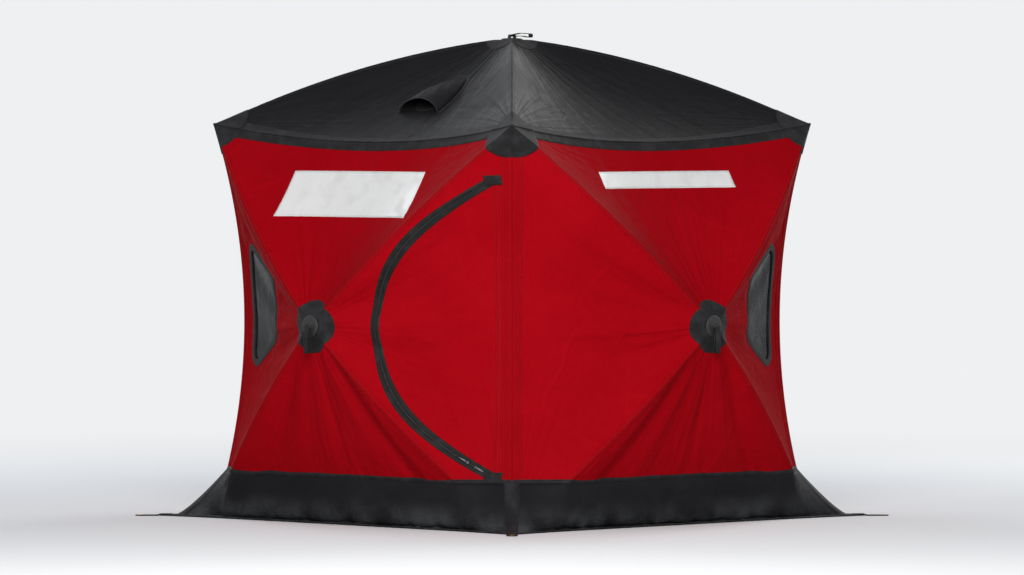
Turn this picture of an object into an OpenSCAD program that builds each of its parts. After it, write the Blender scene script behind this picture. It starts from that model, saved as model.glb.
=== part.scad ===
// Pop-up hub shelter for ice fishing: four bulged fabric walls and a domed roof,
// each pushed out by a hub with four bowed rods. Millimetres, +Z up. The origin is
// on the ice, in the middle of the base, and the front wall faces -Y.

/* [Shell] */
// Width of the square base between its corners
base_w = 1780; // [1600:10:2000]
// Height of the upper corners above the ice
corner_h = 1660; // [1560:10:1800]
// How far each wall hub stands out past the line between two corners
hub_out = 290; // [220:5:320]
// How far the roof hub stands above the upper corners
roof_rise = 360; // [260:5:380]
// How far the fabric bows out over a rod, halfway along it
ridge_bow = 50; // [30:2:60]
// How far the fabric between two rods is pulled in
sector_sag = 24; // [0:2:40]
// How far a corner seam is pulled in at half height, along X and along Y
seam_pull = 90; // [40:5:110]
// How far an eave seam is pulled in at its middle
eave_pull = 74; // [30:2:90]
// How far an eave seam drops at its middle
eave_drop = 70; // [30:2:90]
// How far a bottom hem rises off the ice at its middle
hem_lift = 22; // [0:1:40]
// Thickness of the lined shell fabric
fabric_t = 3; // [2:0.5:4]
// Thickness of bindings, patches and strips sewn on the shell
trim_t = 1.5; // [1:0.1:2]

/* [Door and windows] */
// Width of the zipped doorway at half height
door_w = 480; // [400:10:500]
// Height of the zipped doorway
door_h = 1230; // [1100:10:1250]
// Distance from the corner seam to the sewn side of the door
door_inset = 58; // [50:1:80]
// Width of the zip tape
zip_w = 34; // [24:1:40]
// Width of a window at its middle
window_w = 260; // [200:5:280]
// Height of a window's side next to the corner seam
window_h = 470; // [360:10:500]
// Height of a window's side next to the hub
window_h_hub = 270; // [200:10:300]
// Distance from the wall's middle to a window's middle
window_x = 560; // [540:5:580]
// Height of a window's middle above the wall hub
window_up = 70; // [0:5:90]
// Radius of a window's corners
window_r = 36; // [20:1:50]
// Width of the border sewn round a window
border_w = 26; // [20:1:34]
// Width of the pale strip across a wall's upper field
strip_w = 780; // [600:10:800]
// Height of that strip on the front and back walls
strip_h = 190; // [120:5:200]
// Height of that strip on the right and left walls
slim_strip_h = 70; // [50:5:120]
// Height of the strips' upper edges above the ice
strip_z = 1470; // [1450:2:1474]

/* [Skirt] */
// Width of skirt on the ice in front of a wall
skirt_out = 130; // [90:5:160]
// How much further the skirt spreads at the corners, along X and along Y
skirt_flare = 45; // [0:5:60]
// Width of the skirt's toe that lies flat
skirt_toe = 60; // [40:5:80]
// Thickness of the skirt
skirt_t = 3; // [2.5:0.5:4]
// Length of an anchor tab
tab_l = 95; // [80:5:120]
// Width of an anchor tab
tab_w = 46; // [40:1:60]
// Inner radius of a grommet
grommet_r = 6.5; // [5:0.5:8]

/* [Frame] */
// Radius of a rod
rod_r = 5.5; // [4:0.5:6]
// How far a rod bows out, halfway along it
rod_bow = 60; // [50:2:70]
// Depth of the rods' plane under the fabric at a hub
hub_in = 20; // [18:1:24]
// Depth of a corner joint under the fabric on each of its three sides
joint_in = 17; // [17:0.5:22]
// Radius of a hub's body
hub_r = 40; // [36:1:44]
// Radius of the cap outside a hub
cap_r = 46; // [42:1:48]
// Radius of the stitched patch under a cap
patch_r = 108; // [90:2:112]

/* [Vents] */
// Radius of a roof vent's mesh
vent_r = 60; // [50:1:66]
// Distance from the roof hub to the middle of a vent's mesh
vent_y = 470; // [440:5:500]
// Height of a vent's hood at its mouth
hood_lift = 62; // [40:2:70]

/* [Hidden] */

red = [0.62, 0.05, 0.08];
black = [0.05, 0.05, 0.06];
grey = [0.78, 0.78, 0.78];

half_w = base_w / 2;
hub_z = corner_h / 2;
// Lines of the fabric's grid, in half widths from the middle of a panel
seat = 0.06;
patch_line = 0.13;
window_line = 0.32;
middle_line = 0.54;
skirt_line = 0.76;
corner_line = 0.86;
binding_line = 0.96;
half_lines = [
    seat, patch_line, window_line, middle_line, skirt_line, corner_line, binding_line, 1
];
lines = concat([for (i = [7:-1:0]) -half_lines[i]], [0], half_lines);
function between(a, b) = [for (line = lines) if (line > a - 0.001 && line < b + 0.001) line];
mitre_power = 8;
side_turns = [0, 90, 180, 270];

function unit(v) = v / norm(v);

// The seams that the panels share, seen from the front. s and t run from -1 to 1,
// across the wall and up it.
function side_edge(s, t) =
    let (in = half_w - seam_pull * (1 - t * t))
    [sign(s) * in, -in, hub_z * (1 + t)];
function eave_edge(s) =
    [s * half_w, eave_pull * (1 - s * s) - half_w, corner_h - eave_drop * (1 - s * s)];
function hem_edge(s) = [s * half_w, -half_w, hem_lift * (1 - s * s)];
function wall_edge(s, t) =
    abs(s) >= abs(t) ? side_edge(s, t) : t > 0 ? eave_edge(s) : hem_edge(s);

// How far along a rod, from the flat seat of the hub to the corner
function reach(r) = max(0, (r - seat) / (1 - seat));
// The bow over the rods and the hollow between them. w is 0 midway between two rods.
function swell(r, w) =
    let (q = reach(r))
    4 * q * (1 - q) * (ridge_bow * pow(abs(w), 3) - sector_sag * (1 - w * w));

// A point of the front wall, depth mm inside its outer face
function wall_point(s, t, depth = 0) =
    let (
        r = max(abs(s), abs(t), 0.0001),
        edge = wall_edge(s / r, t / r),
        w = (abs(s) >= abs(t) ? t : s) / r,
        q = reach(r),
        y = edge[1] * q - (half_w + hub_out) * (1 - q) - swell(r, w)
    )
    [
        edge[0] * r - depth * sign(s) * pow(abs(s), mitre_power),
        y + depth,
        hub_z * (1 - r) + edge[2] * r - (t > 0 ? depth * pow(t, mitre_power) : 0)
    ];

// A point of the roof, depth mm inside its outer face
function roof_point(a, b, depth = 0) =
    let (
        r = max(abs(a), abs(b), 0.0001),
        along = abs(b) >= abs(a) ? a / r : b / r,
        eave = eave_edge(along),
        side = abs(b) >= abs(a) ? sign(b) : sign(a),
        q = reach(r),
        x = abs(b) >= abs(a) ? eave[0] : -side * eave[1],
        y = abs(b) >= abs(a) ? -side * eave[1] : eave[0]
    )
    [
        x * r - depth * sign(a) * pow(abs(a), mitre_power),
        y * r - depth * sign(b) * pow(abs(b), mitre_power),
        eave[2] * q + (corner_h + roof_rise) * (1 - q) + swell(r, along) - depth
    ];

function turned(p, angle) =
    [p[0] * cos(angle) - p[1] * sin(angle), p[0] * sin(angle) + p[1] * cos(angle), p[2]];

// Closed sheet between two grids of points. Going along a row and then up a column
// turns to the outside. slant says which way each cell is split.
module sheet(outer, inner, slant) {
    rows = len(outer);
    cols = len(outer[0]);
    under = rows * cols;
    function at(j, i) = j * cols + i;
    skin = [
        for (j = [0:rows - 2], i = [0:cols - 2])
            let (a = at(j, i), b = at(j, i + 1), c = at(j + 1, i + 1), d = at(j + 1, i))
            each slant[j][i]
                ? [[a, d, c], [a, c, b], [a + under, b + under, c + under],
                   [a + under, c + under, d + under]]
                : [[a, d, b], [d, c, b], [a + under, b + under, d + under],
                   [d + under, b + under, c + under]]
    ];
    low_and_high = [
        for (i = [0:cols - 2])
            let (a = at(0, i), b = at(0, i + 1), e = at(rows - 1, i), f = at(rows - 1, i + 1))
            each [[a, b, b + under], [a, b + under, a + under],
                  [e, f + under, f], [e, e + under, f + under]]
    ];
    left_and_right = [
        for (j = [0:rows - 2])
            let (a = at(j, 0), d = at(j + 1, 0), b = at(j, cols - 1), c = at(j + 1, cols - 1))
            each [[a, a + under, d + under], [a, d + under, d],
                  [b, c + under, b + under], [b, c, c + under]]
    ];
    polyhedron(
        points = concat([for (row = outer) each row], [for (row = inner) each row]),
        faces = concat(skin, low_and_high, left_and_right),
        convexity = 8
    );
}

// Cells are split towards the hub, so that the rods' ridges are edges.
function slants(s, t) = [
    for (j = [1:len(t) - 1]) [
        for (i = [1:len(s) - 1]) (s[i - 1] + s[i]) * (t[j - 1] + t[j]) > 0
    ]
];
function even(rows, cols) = [for (j = [1:rows]) [for (i = [1:cols]) true]];

// Part of the front wall between two depths, two lines across and two lines up
module wall_sheet(d0, d1, s0 = -1, s1 = 1, t0 = -1, t1 = 1) {
    across = between(s0, s1);
    up = between(t0, t1);
    function grid(d) = [for (t = up) [for (s = across) wall_point(s, t, d)]];
    sheet(grid(d0), grid(d1), slants(across, up));
}

module roof_sheet(d0, d1, a0 = -1, a1 = 1, b0 = -1, b1 = 1) {
    across = between(a0, a1);
    up = between(b0, b1);
    function grid(d) = [for (b = up) [for (a = across) roof_point(a, b, d)]];
    sheet(grid(d0), grid(d1), slants(across, up));
}

// A flat outline, drawn in X and Z, pushed through the front wall
module through_wall() {
    rotate([90, 0, 0]) translate([0, 0, half_w - 120]) linear_extrude(hub_out + 240) children();
}

module on_each_wall() {
    for (turn = side_turns) rotate([0, 0, turn]) children();
}

// Convex outline with round corners, from the corners' centres, anticlockwise
module rounded(centres, r) {
    n = len(centres);
    polygon([
        for (i = [0:n - 1])
            let (a = centres[i], b = centres[(i + 1) % n], d = unit(b - a), out = r * [d[1], -d[0]])
            each [a + out, b + out]
    ]);
    for (centre = centres) translate(centre) circle(r = r, $fn = 48);
}

// A window tapers towards the hub, as the field between two rods does.
module window_outline(side, grow = 0) {
    near = window_x - window_w / 2 + window_r;
    far = window_x + window_w / 2 - window_r;
    near_h = window_h_hub / 2 - window_r;
    far_h = window_h / 2 - window_r;
    translate([0, hub_z + window_up]) mirror([side < 0 ? 1 : 0, 0])
        rounded([[near, -near_h], [far, -far_h], [far, far_h], [near, near_h]], window_r + grow);
}

// The doorway is the field between the two rods on the front wall's right side. Its
// zip runs on a parabola, and its other side is sewn along the corner seam.
door_steps = 20;
door_reach = door_h / 2;
function door_side_x(z) =
    let (t = z / hub_z - 1) half_w - seam_pull * (1 - t * t) - door_inset;
function zip_x(z) = let (h = (z - hub_z) / door_reach) door_side_x(z) - door_w * (1 - h * h);
function door_z(step) = hub_z + door_reach * (2 * step / door_steps - 1);
// The door's outline, with its zip side moved in by slit. The tips end where the zip's
// line is two slits from the sewn side.
module door_outline(slit = 0) {
    tip = door_reach * sqrt(1 - 2 * slit / door_w);
    heights = concat(
        [hub_z - tip], [for (k = [1:door_steps - 1]) door_z(k)], [hub_z + tip]
    );
    polygon(concat(
        [for (z = heights) [zip_x(z) + slit, z]],
        [for (k = [door_steps:-1:0]) [door_side_x(heights[k]), heights[k]]]
    ));
}
// A band of the given width along the zip's line
module zip_band(width) {
    edge = [for (k = [0:door_steps]) [zip_x(door_z(k)), door_z(k)]];
    function ahead(k) = unit(edge[min(k + 1, door_steps)] - edge[max(k - 1, 0)]);
    function beside(k, off) = edge[k] + off * [-ahead(k)[1], ahead(k)[0]];
    polygon(concat(
        [for (k = [0:door_steps]) beside(k, width / 2)],
        [for (k = [door_steps:-1:0]) beside(k, -width / 2)]
    ));
}

// A wall with its window holes and the hole for the hub's bolt
module shell_wall(windows) {
    difference() {
        wall_sheet(0, fabric_t);
        through_wall() {
            translate([0, hub_z]) circle(r = bolt_r + 2, $fn = 48);
            for (side = windows) window_outline(side);
        }
    }
}
bolt_r = 10;

// The sides of each wall that have a window, from the front wall round to the left
window_sides = [[-1], [1], [-1, 1], [-1, 1]];
module front_wall() color(red) difference() {
    shell_wall(window_sides[0]);
    through_wall() door_outline();
}
module plain_wall(wall) color(red) rotate([0, 0, side_turns[wall]])
    shell_wall(window_sides[wall]);

module roof_panel() color(black) difference() {
    roof_sheet(0, fabric_t);
    translate([0, 0, corner_h]) cylinder(r = bolt_r + 2, h = roof_rise + 60, $fn = 48);
    for (end = [-1, 1]) translate([0, end * vent_y, corner_h - 60])
        cylinder(r = vent_r, h = roof_rise + 100, $fn = 48);
}

// The door's cloth fills its hole but for the zip's slit.
zip_slit = 3;
module door_panel() color(red) intersection() {
    wall_sheet(0, fabric_t, 0, binding_line, -skirt_line, skirt_line);
    through_wall() door_outline(zip_slit);
}
module door_zip() color(black) intersection() {
    wall_sheet(-trim_t, 0, 0, binding_line, -skirt_line, skirt_line);
    through_wall() zip_band(zip_w);
}

// Smoked film held to the inside of the shell, and a border sewn on the outside
module round_window(side, d0, d1) intersection() {
    if (side > 0) wall_sheet(d0, d1, window_line, binding_line, -window_line, middle_line);
    else wall_sheet(d0, d1, -binding_line, -window_line, -window_line, middle_line);
    children();
}
module window_film(side) round_window(side, fabric_t, fabric_t + 1)
    through_wall() window_outline(side, film_lap);
film_lap = 20;
module window_border(side) round_window(side, -trim_t, 0) through_wall() difference() {
    window_outline(side, border_w);
    window_outline(side);
}
module windows(wall) color([0.30, 0.32, 0.34]) rotate([0, 0, side_turns[wall]])
    for (side = window_sides[wall]) window_film(side);
module window_borders() color(black) {
    for (wall = [0:3], side = window_sides[wall])
        rotate([0, 0, side_turns[wall]]) window_border(side);
}

module strip(turn, height) rotate([0, 0, turn]) intersection() {
    wall_sheet(-trim_t, 0, -middle_line, middle_line, window_line, skirt_line);
    through_wall() translate([-strip_w / 2, strip_z - height]) square([strip_w, height]);
}
module reflective_strips() color(grey) for (turn = [0, 180]) {
    strip(turn, strip_h);
    strip(turn + 90, slim_strip_h);
}

// Binding folded over a corner seam, from the skirt up to the corner patch
module corner_binding(turn) {
    rows = between(-skirt_line, corner_line);
    function fold(t, d) = [
        wall_point(binding_line, t, d),
        wall_point(1, t, d),
        turned(wall_point(-binding_line, t, d), 90)
    ];
    function grid(d) = [for (t = rows) fold(t, d)];
    color(red) rotate([0, 0, turn]) sheet(grid(-trim_t), grid(0), even(len(rows) - 1, 2));
}

// Binding folded over an eave, between two corner patches
module eave_binding() {
    cols = between(-corner_line, corner_line);
    function fold(s, d) = [
        wall_point(s, binding_line, d), wall_point(s, 1, d), roof_point(s, -binding_line, d)
    ];
    function grid(d) = [for (row = [0:2]) [for (s = cols) fold(s, d)[row]]];
    sheet(grid(-trim_t), grid(0), even(2, len(cols) - 1));
}
module eave_bindings() color(black) on_each_wall() eave_binding();

// Patch over an upper corner, with a flap on each of the three panels
module corner_patch() {
    wall_sheet(-trim_t, 0, corner_line, 1, corner_line, 1);
    rotate([0, 0, 90]) wall_sheet(-trim_t, 0, -1, -corner_line, corner_line, 1);
    roof_sheet(-trim_t, 0, corner_line, 1, -1, -corner_line);
}
module corner_patches() color(black) on_each_wall() corner_patch();

module hub_patch_cut() intersection() {
    wall_sheet(-trim_t, 0, -patch_line, patch_line, -patch_line, patch_line);
    through_wall() translate([0, hub_z]) difference() {
        circle(r = patch_r, $fn = 64);
        circle(r = bolt_r + 2, $fn = 48);
    }
}
module hub_patches() color(black) {
    on_each_wall() hub_patch_cut();
    intersection() {
        roof_sheet(-trim_t, 0, -patch_line, patch_line, -patch_line, patch_line);
        translate([0, 0, corner_h]) difference() {
            cylinder(r = patch_r, h = roof_rise + 60, $fn = 64);
            cylinder(r = bolt_r + 2, h = roof_rise + 60, $fn = 48);
        }
    }
}

// The skirt is sewn to the wall, hangs to the ice and ends in a flat toe.
function skirt_ground(s, out) =
    let (flare = skirt_flare * pow(abs(s), 4), side = half_w + out + flare)
    [s * side, -side, 0];
function skirt_row(s, q) =
    let (
        top = wall_point(s, -skirt_line, -skirt_t),
        ground = skirt_ground(s, skirt_out - skirt_toe) + [0, 0, skirt_t],
        push = knee_push * pow(abs(s), mitre_power),
        knee_x = (top[0] + ground[0]) / 2 + sign(s) * push,
        knee = [knee_x, (top[1] + ground[1]) / 2 - knee_push, knee_z]
    )
    top * (1 - q) * (1 - q) + knee * 2 * q * (1 - q) + ground * q * q;
knee_z = 30;
knee_push = 30;
skirt_steps = [1, 0.75, 0.5, 0.25, 0];
// Towards the inner face: level, and down as well where the toe begins
function skirt_inward(s, q) =
    skirt_t * [-sign(s) * pow(abs(s), mitre_power), 1, q < 1 ? 0 : -1];
module skirt(turn) {
    outer = concat(
        [[for (s = lines) skirt_ground(s, skirt_out) + [0, 0, skirt_t]]],
        [for (q = skirt_steps) [for (s = lines) skirt_row(s, q)]]
    );
    inner = concat(
        [[for (s = lines) skirt_ground(s, skirt_out)]],
        [for (q = skirt_steps) [for (s = lines) skirt_row(s, q) + skirt_inward(s, q)]]
    );
    left_half = [for (i = [1:len(lines) - 1]) lines[i - 1] < -0.001];
    color(black) rotate([0, 0, turn])
        sheet(outer, inner, [for (row = [1:len(skirt_steps)]) left_half]);
}

// Tabs at the skirt's corners, each with a grommet for an ice anchor
tab_lift = 1.2;
tab_t = 3;
tab_corner = half_w + skirt_out + skirt_flare;
function tab_hole() = (tab_corner * sqrt(2) + tab_l - tab_w / 2) / sqrt(2);
module anchor_tab() {
    start = tab_corner * sqrt(2) - tab_w / 2;
    translate([0, 0, tab_lift]) linear_extrude(tab_t) difference() {
        rotate(-45) union() {
            translate([start, -tab_w / 2]) square([tab_l, tab_w]);
            translate([tab_corner * sqrt(2) + tab_l - tab_w / 2, 0]) circle(d = tab_w, $fn = 48);
        }
        translate([0, -tab_corner]) square(tab_corner);
        translate([tab_hole(), -tab_hole()]) circle(r = grommet_r + 1.5, $fn = 48);
    }
}
module anchor_tabs() color(black) on_each_wall() anchor_tab();

module grommet() {
    flange = grommet_r + 5.5;
    top = 2 * tab_lift + tab_t;
    translate([tab_hole(), -tab_hole(), 0]) rotate_extrude($fn = 64) polygon([
        [grommet_r, 0], [flange, 0], [flange, tab_lift], [grommet_r + 1.5, tab_lift],
        [grommet_r + 1.5, top - tab_lift], [flange, top - tab_lift], [flange, top - 0.4],
        [flange - 0.8, top], [grommet_r, top]
    ]);
}
module grommets() color([0.72, 0.6, 0.3]) on_each_wall() grommet();

// A child drawn along +Z, put at a point and aimed along a direction
module aimed(point, direction) {
    z = unit(direction);
    side = abs(z[2]) < 0.9 ? [0, 0, 1] : [1, 0, 0];
    x = unit(cross(side, z));
    y = cross(z, x);
    multmatrix([
        [x[0], y[0], z[0], point[0]], [x[1], y[1], z[1], point[1]],
        [x[2], y[2], z[2], point[2]], [0, 0, 0, 1]
    ]) children();
}

// A rod is an arc from its hub to a corner, bowed towards out.
function rod_side(hub, corner, out) =
    let (along = unit(corner - hub)) unit(out - (out * along) * along);
function rod_radius(hub, corner) =
    let (chord = norm(corner - hub)) chord * chord / (8 * rod_bow) + rod_bow / 2;
function rod_half_turn(hub, corner) =
    asin(norm(corner - hub) / 2 / rod_radius(hub, corner));
// Where a socket points, so that the bowed rod runs down its middle. mid is the
// distance from the rod's end to the middle of the socket.
function socket_turn(hub, corner, mid) =
    rod_half_turn(hub, corner) - mid / 2 / rod_radius(hub, corner) * 180 / PI;
function rod_start(hub, corner, out, mid) =
    let (h = socket_turn(hub, corner, mid))
    cos(h) * unit(corner - hub) + sin(h) * rod_side(hub, corner, out);
function rod_end(hub, corner, out, mid) =
    let (h = socket_turn(hub, corner, mid))
    sin(h) * rod_side(hub, corner, out) - cos(h) * unit(corner - hub);

// From the rod's own end: the socket's root, the bore's floor and the mouth
hub_socket = [18, 40, 66];
// The bore's floor and the mouth
corner_socket = [24, 58];
hub_mid = (hub_socket[1] + hub_socket[2]) / 2;
corner_mid = (corner_socket[0] + corner_socket[1]) / 2;
socket_gap = 0.3;
module rod(hub, corner, out) {
    radius = rod_radius(hub, corner);
    h = rod_half_turn(hub, corner);
    from = asin((hub_socket[1] + 1) / radius);
    to = asin((corner_socket[0] + 1) / radius);
    u = unit(corner - hub);
    v = rod_side(hub, corner, out);
    w = cross(v, u);
    c = (hub + corner) / 2 - (radius - rod_bow) * v;
    multmatrix([
        [v[0], u[0], w[0], c[0]], [v[1], u[1], w[1], c[1]],
        [v[2], u[2], w[2], c[2]], [0, 0, 0, 1]
    ]) rotate([0, 0, from - h]) rotate_extrude(angle = 2 * h - from - to, $fn = 720)
        translate([radius, 0]) circle(r = rod_r, $fn = 32);
}

joint_side = half_w - joint_in;
wall_hub = [0, hub_in - half_w - hub_out, hub_z];
roof_hub_point = [0, 0, corner_h + roof_rise - hub_in];
wall_corners = [
    for (side = [-1, 1], z = [joint_in, corner_h - joint_in]) [side * joint_side, -joint_side, z]
];
roof_corners = [
    for (x = [-1, 1], y = [-1, 1]) [x * joint_side, y * joint_side, corner_h - joint_in]
];
front = [0, -1, 0];
up = [0, 0, 1];

module wall_rods(turn) color([0.82, 0.82, 0.76]) rotate([0, 0, turn])
    for (corner = wall_corners) rod(wall_hub, corner, front);
module roof_rods() color([0.82, 0.82, 0.76])
    for (corner = roof_corners) rod(roof_hub_point, corner, up);

// A hub: a dished disc with ribs and four sockets, each with a pivot boss at its root
// and a collar at its mouth. Its bolt passes through the cloth.
hub_t = 13;
hub_boss_r = 22;
collar_l = 6;
pivot_at = 30;
pivot_r = 4;
pivot_l = 26;
module socket(from, to, wall) {
    translate([0, 0, from]) cylinder(r = rod_r + wall, h = to - from, $fn = 48);
    translate([0, 0, to - collar_l]) cylinder(r = rod_r + wall + 1.5, h = collar_l, $fn = 48);
}
module socket_bore(from) translate([0, 0, from])
    cylinder(r = rod_r + socket_gap, h = 60, $fn = 48);
module hub_disc() {
    face = hub_in - fabric_t;
    rotate_extrude($fn = 72) polygon([
        [0, -hub_t - 4], [hub_boss_r - 2, -hub_t - 4], [hub_boss_r, -hub_t - 2],
        [hub_boss_r, -hub_t + 5], [hub_r - 7, -hub_t + 5], [hub_r - 5, -hub_t], [hub_r - 2, -hub_t],
        [hub_r, -hub_t + 2], [hub_r, face - 1.5], [hub_r - 1.5, face], [0, face]
    ]);
    for (k = [0:7]) rotate([0, 0, 22.5 + 45 * k]) translate([hub_boss_r - 1, -1.5, -hub_t])
        cube([hub_r - hub_boss_r - 3, 3, hub_t]);
    cylinder(r = bolt_r, h = hub_in + trim_t, $fn = 48);
}
module hub_body(hub, corners, out) difference() {
    union() {
        aimed(hub, out) hub_disc();
        for (corner = corners) aimed(hub, rod_start(hub, corner, out, hub_mid)) {
            socket(hub_socket[0], hub_socket[2], 4);
            translate([0, 0, pivot_at]) rotate([90, 0, 0])
                cylinder(r = pivot_r, h = pivot_l, center = true, $fn = 48);
        }
    }
    for (corner = corners)
        aimed(hub, rod_start(hub, corner, out, hub_mid)) socket_bore(hub_socket[1]);
    aimed(hub, out) translate([0, 0, -hub_t - 5]) cylinder(r = 8, h = 8, $fn = 6);
}
module wall_hub_body(turn) color(black) rotate([0, 0, turn])
    hub_body(wall_hub, wall_corners, front);
module roof_hub() color(black) hub_body(roof_hub_point, roof_corners, up);

// The cap clamps the fabric and carries the loop that pulls the hub out.
cap_h = 9;
lug_gap = 27;
lug_t = 5;
bar_z = 18;
bar_r = 2.5;
module hub_cap(hub, out) aimed(hub, out) translate([0, 0, hub_in + trim_t]) {
    rotate_extrude($fn = 72) polygon([
        [0, 0], [cap_r, 0], [cap_r, 3], [cap_r - 3, 5.5], [cap_r - 12, 7],
        [20, 7], [18, cap_h], [0, cap_h]
    ]);
    for (side = [-1, 1]) translate([side * (lug_gap + lug_t) / 2, 0, 0]) rotate([90, 0, 90])
        linear_extrude(lug_t, center = true) {
            polygon([[-9, 6], [9, 6], [5, bar_z], [-5, bar_z]]);
            translate([0, bar_z]) circle(r = 5, $fn = 48);
        }
    translate([0, 0, bar_z]) rotate([0, 90, 0])
        cylinder(r = bar_r, h = lug_gap + 2, center = true, $fn = 48);
}
module hub_caps() color([0.08, 0.08, 0.09]) {
    on_each_wall() hub_cap(wall_hub, front);
    hub_cap(roof_hub_point, up);
}

// Webbing loop round the cap's bar, hanging down on a wall and lying on the roof
loop_w = 25;
loop_t = 2;
loop_l = 105;
module pull_loop() {
    module strap(r) {
        circle(r = r, $fn = 48);
        polygon([[0, -r], [loop_l, -r - 4], [loop_l, r + 4], [0, r]]);
        translate([loop_l, 0]) circle(r = r + 4, $fn = 48);
    }
    linear_extrude(loop_w, center = true) difference() {
        strap(bar_r + 0.2 + loop_t);
        strap(bar_r + 0.2);
    }
}
loop_out = hub_in + trim_t + bar_z;
module pull_loops() color(black) {
    on_each_wall() translate(wall_hub - [0, loop_out, 0]) rotate([0, 90, 0]) pull_loop();
    translate(roof_hub_point + [0, 0, loop_out]) rotate([90, 0, 0]) pull_loop();
}

// Corner joints: a ball with a socket for each rod that ends there
ball_r = 13;
module joint(point, hubs) difference() {
    union() {
        translate(point) sphere(r = ball_r, $fn = 48);
        for (h = hubs) aimed(point, rod_end(h[0], point, h[1], corner_mid))
            socket(0, corner_socket[1], 3);
    }
    for (h = hubs)
        aimed(point, rod_end(h[0], point, h[1], corner_mid)) socket_bore(corner_socket[0]);
}
right_hub_point = turned(wall_hub, 90);
module upper_corner_joints() color([0.1, 0.1, 0.11]) on_each_wall()
    joint([joint_side, -joint_side, corner_h - joint_in],
        [[wall_hub, front], [right_hub_point, [1, 0, 0]], [roof_hub_point, up]]);
foot_r = 13.5;
module corner_foot() {
    joint([joint_side, -joint_side, joint_in], [[wall_hub, front], [right_hub_point, [1, 0, 0]]]);
    translate([joint_side, -joint_side, 0]) cylinder(r = foot_r, h = 6, $fn = 48);
}
module corner_feet() color([0.1, 0.1, 0.11]) on_each_wall() corner_foot();

// Roof vents: a mesh disc fills the roof's hole, under a hood of the roof's cloth.
// The hood is arched at its mouth, which is open to the eave, and runs out flat
// towards the roof hub.
hood_line_mouth = 0.68;
hood_line_top = 0.36;
hood_half_w = 0.125;
hood_t = 2;
// Clear of the flat facets between the roof's grid lines
hood_gap = 1.6;
hood_arch = [-1, -0.9, -0.7, -0.4, 0, 0.4, 0.7, 0.9, 1];
hood_rows = [0, 0.2, 0.45, 0.7, 0.9, 1];
function hood_point(u, v, depth) =
    let (
        wide = hood_half_w * (1 - 0.75 * v * v),
        line = hood_line_mouth + (hood_line_top - hood_line_mouth) * v,
        lift = hood_lift * sqrt(1 - u * u) * (1 - v * v)
    )
    roof_point(u * wide, -line, -hood_t - hood_gap) + [0, 0, lift - depth];
module vent_hood() {
    function grid(d) = [for (v = hood_rows) [for (u = hood_arch) hood_point(u, v, d)]];
    sheet(grid(0), grid(hood_t), even(len(hood_rows) - 1, len(hood_arch) - 1));
}
module vent_hoods() color(black) for (turn = [0, 180]) rotate([0, 0, turn]) vent_hood();
module vent_meshes() color([0.15, 0.15, 0.15]) for (turn = [0, 180]) rotate([0, 0, turn])
    intersection() {
        roof_sheet(0.5, 1.5, -window_line, window_line, -skirt_line, -window_line);
        translate([0, -vent_y, corner_h - 60])
            cylinder(r = vent_r - mesh_gap, h = roof_rise + 100, $fn = 48);
    }
mesh_gap = 0.2;

front_wall();
plain_wall(1);  // right_wall
plain_wall(2);  // back_wall
plain_wall(3);  // left_wall
roof_panel();
door_panel();
door_zip();
windows(0);  // front_window
windows(1);  // right_window
windows(2);  // back_windows
windows(3);  // left_windows
window_borders();
reflective_strips();
corner_binding(270);  // front_left_binding
corner_binding(0);  // front_right_binding
corner_binding(90);  // back_right_binding
corner_binding(180);  // back_left_binding
eave_bindings();
corner_patches();
hub_patches();
skirt(0);  // front_skirt
skirt(90);  // right_skirt
skirt(180);  // back_skirt
skirt(270);  // left_skirt
anchor_tabs();
grommets();
wall_hub_body(0);  // front_hub
wall_hub_body(90);  // right_hub
wall_hub_body(180);  // back_hub
wall_hub_body(270);  // left_hub
roof_hub();
hub_caps();
pull_loops();
wall_rods(0);  // front_rods
wall_rods(90);  // right_rods
wall_rods(180);  // back_rods
wall_rods(270);  // left_rods
roof_rods();
upper_corner_joints();
corner_feet();
vent_hoods();
vent_meshes();
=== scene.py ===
import math
import bmesh
import bpy
import numpy as np
from mathutils import Matrix, Vector


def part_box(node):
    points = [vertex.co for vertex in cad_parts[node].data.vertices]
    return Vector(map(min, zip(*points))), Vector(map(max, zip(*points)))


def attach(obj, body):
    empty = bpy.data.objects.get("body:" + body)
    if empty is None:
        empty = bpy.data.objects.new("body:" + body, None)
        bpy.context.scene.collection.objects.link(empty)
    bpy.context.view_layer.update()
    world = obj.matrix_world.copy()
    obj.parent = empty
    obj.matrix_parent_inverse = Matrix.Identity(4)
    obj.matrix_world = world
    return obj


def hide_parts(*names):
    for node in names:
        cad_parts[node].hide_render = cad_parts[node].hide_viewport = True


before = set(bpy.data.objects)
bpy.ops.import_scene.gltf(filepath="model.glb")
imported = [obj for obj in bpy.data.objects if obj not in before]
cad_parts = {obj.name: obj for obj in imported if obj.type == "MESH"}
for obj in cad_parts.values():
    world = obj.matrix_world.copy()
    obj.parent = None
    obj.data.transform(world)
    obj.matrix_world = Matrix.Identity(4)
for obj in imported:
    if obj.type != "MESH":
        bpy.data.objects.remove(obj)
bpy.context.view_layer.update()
scene = bpy.context.scene


def add_object(name, data):
    made = bpy.data.objects.new(name, data)
    scene.collection.objects.link(made)
    return made


def aim_at(thing, target):
    """Turns a camera or a lamp to a point."""
    thing.rotation_euler = (target - thing.location).to_track_quat("-Z", "Y").to_euler()


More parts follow.
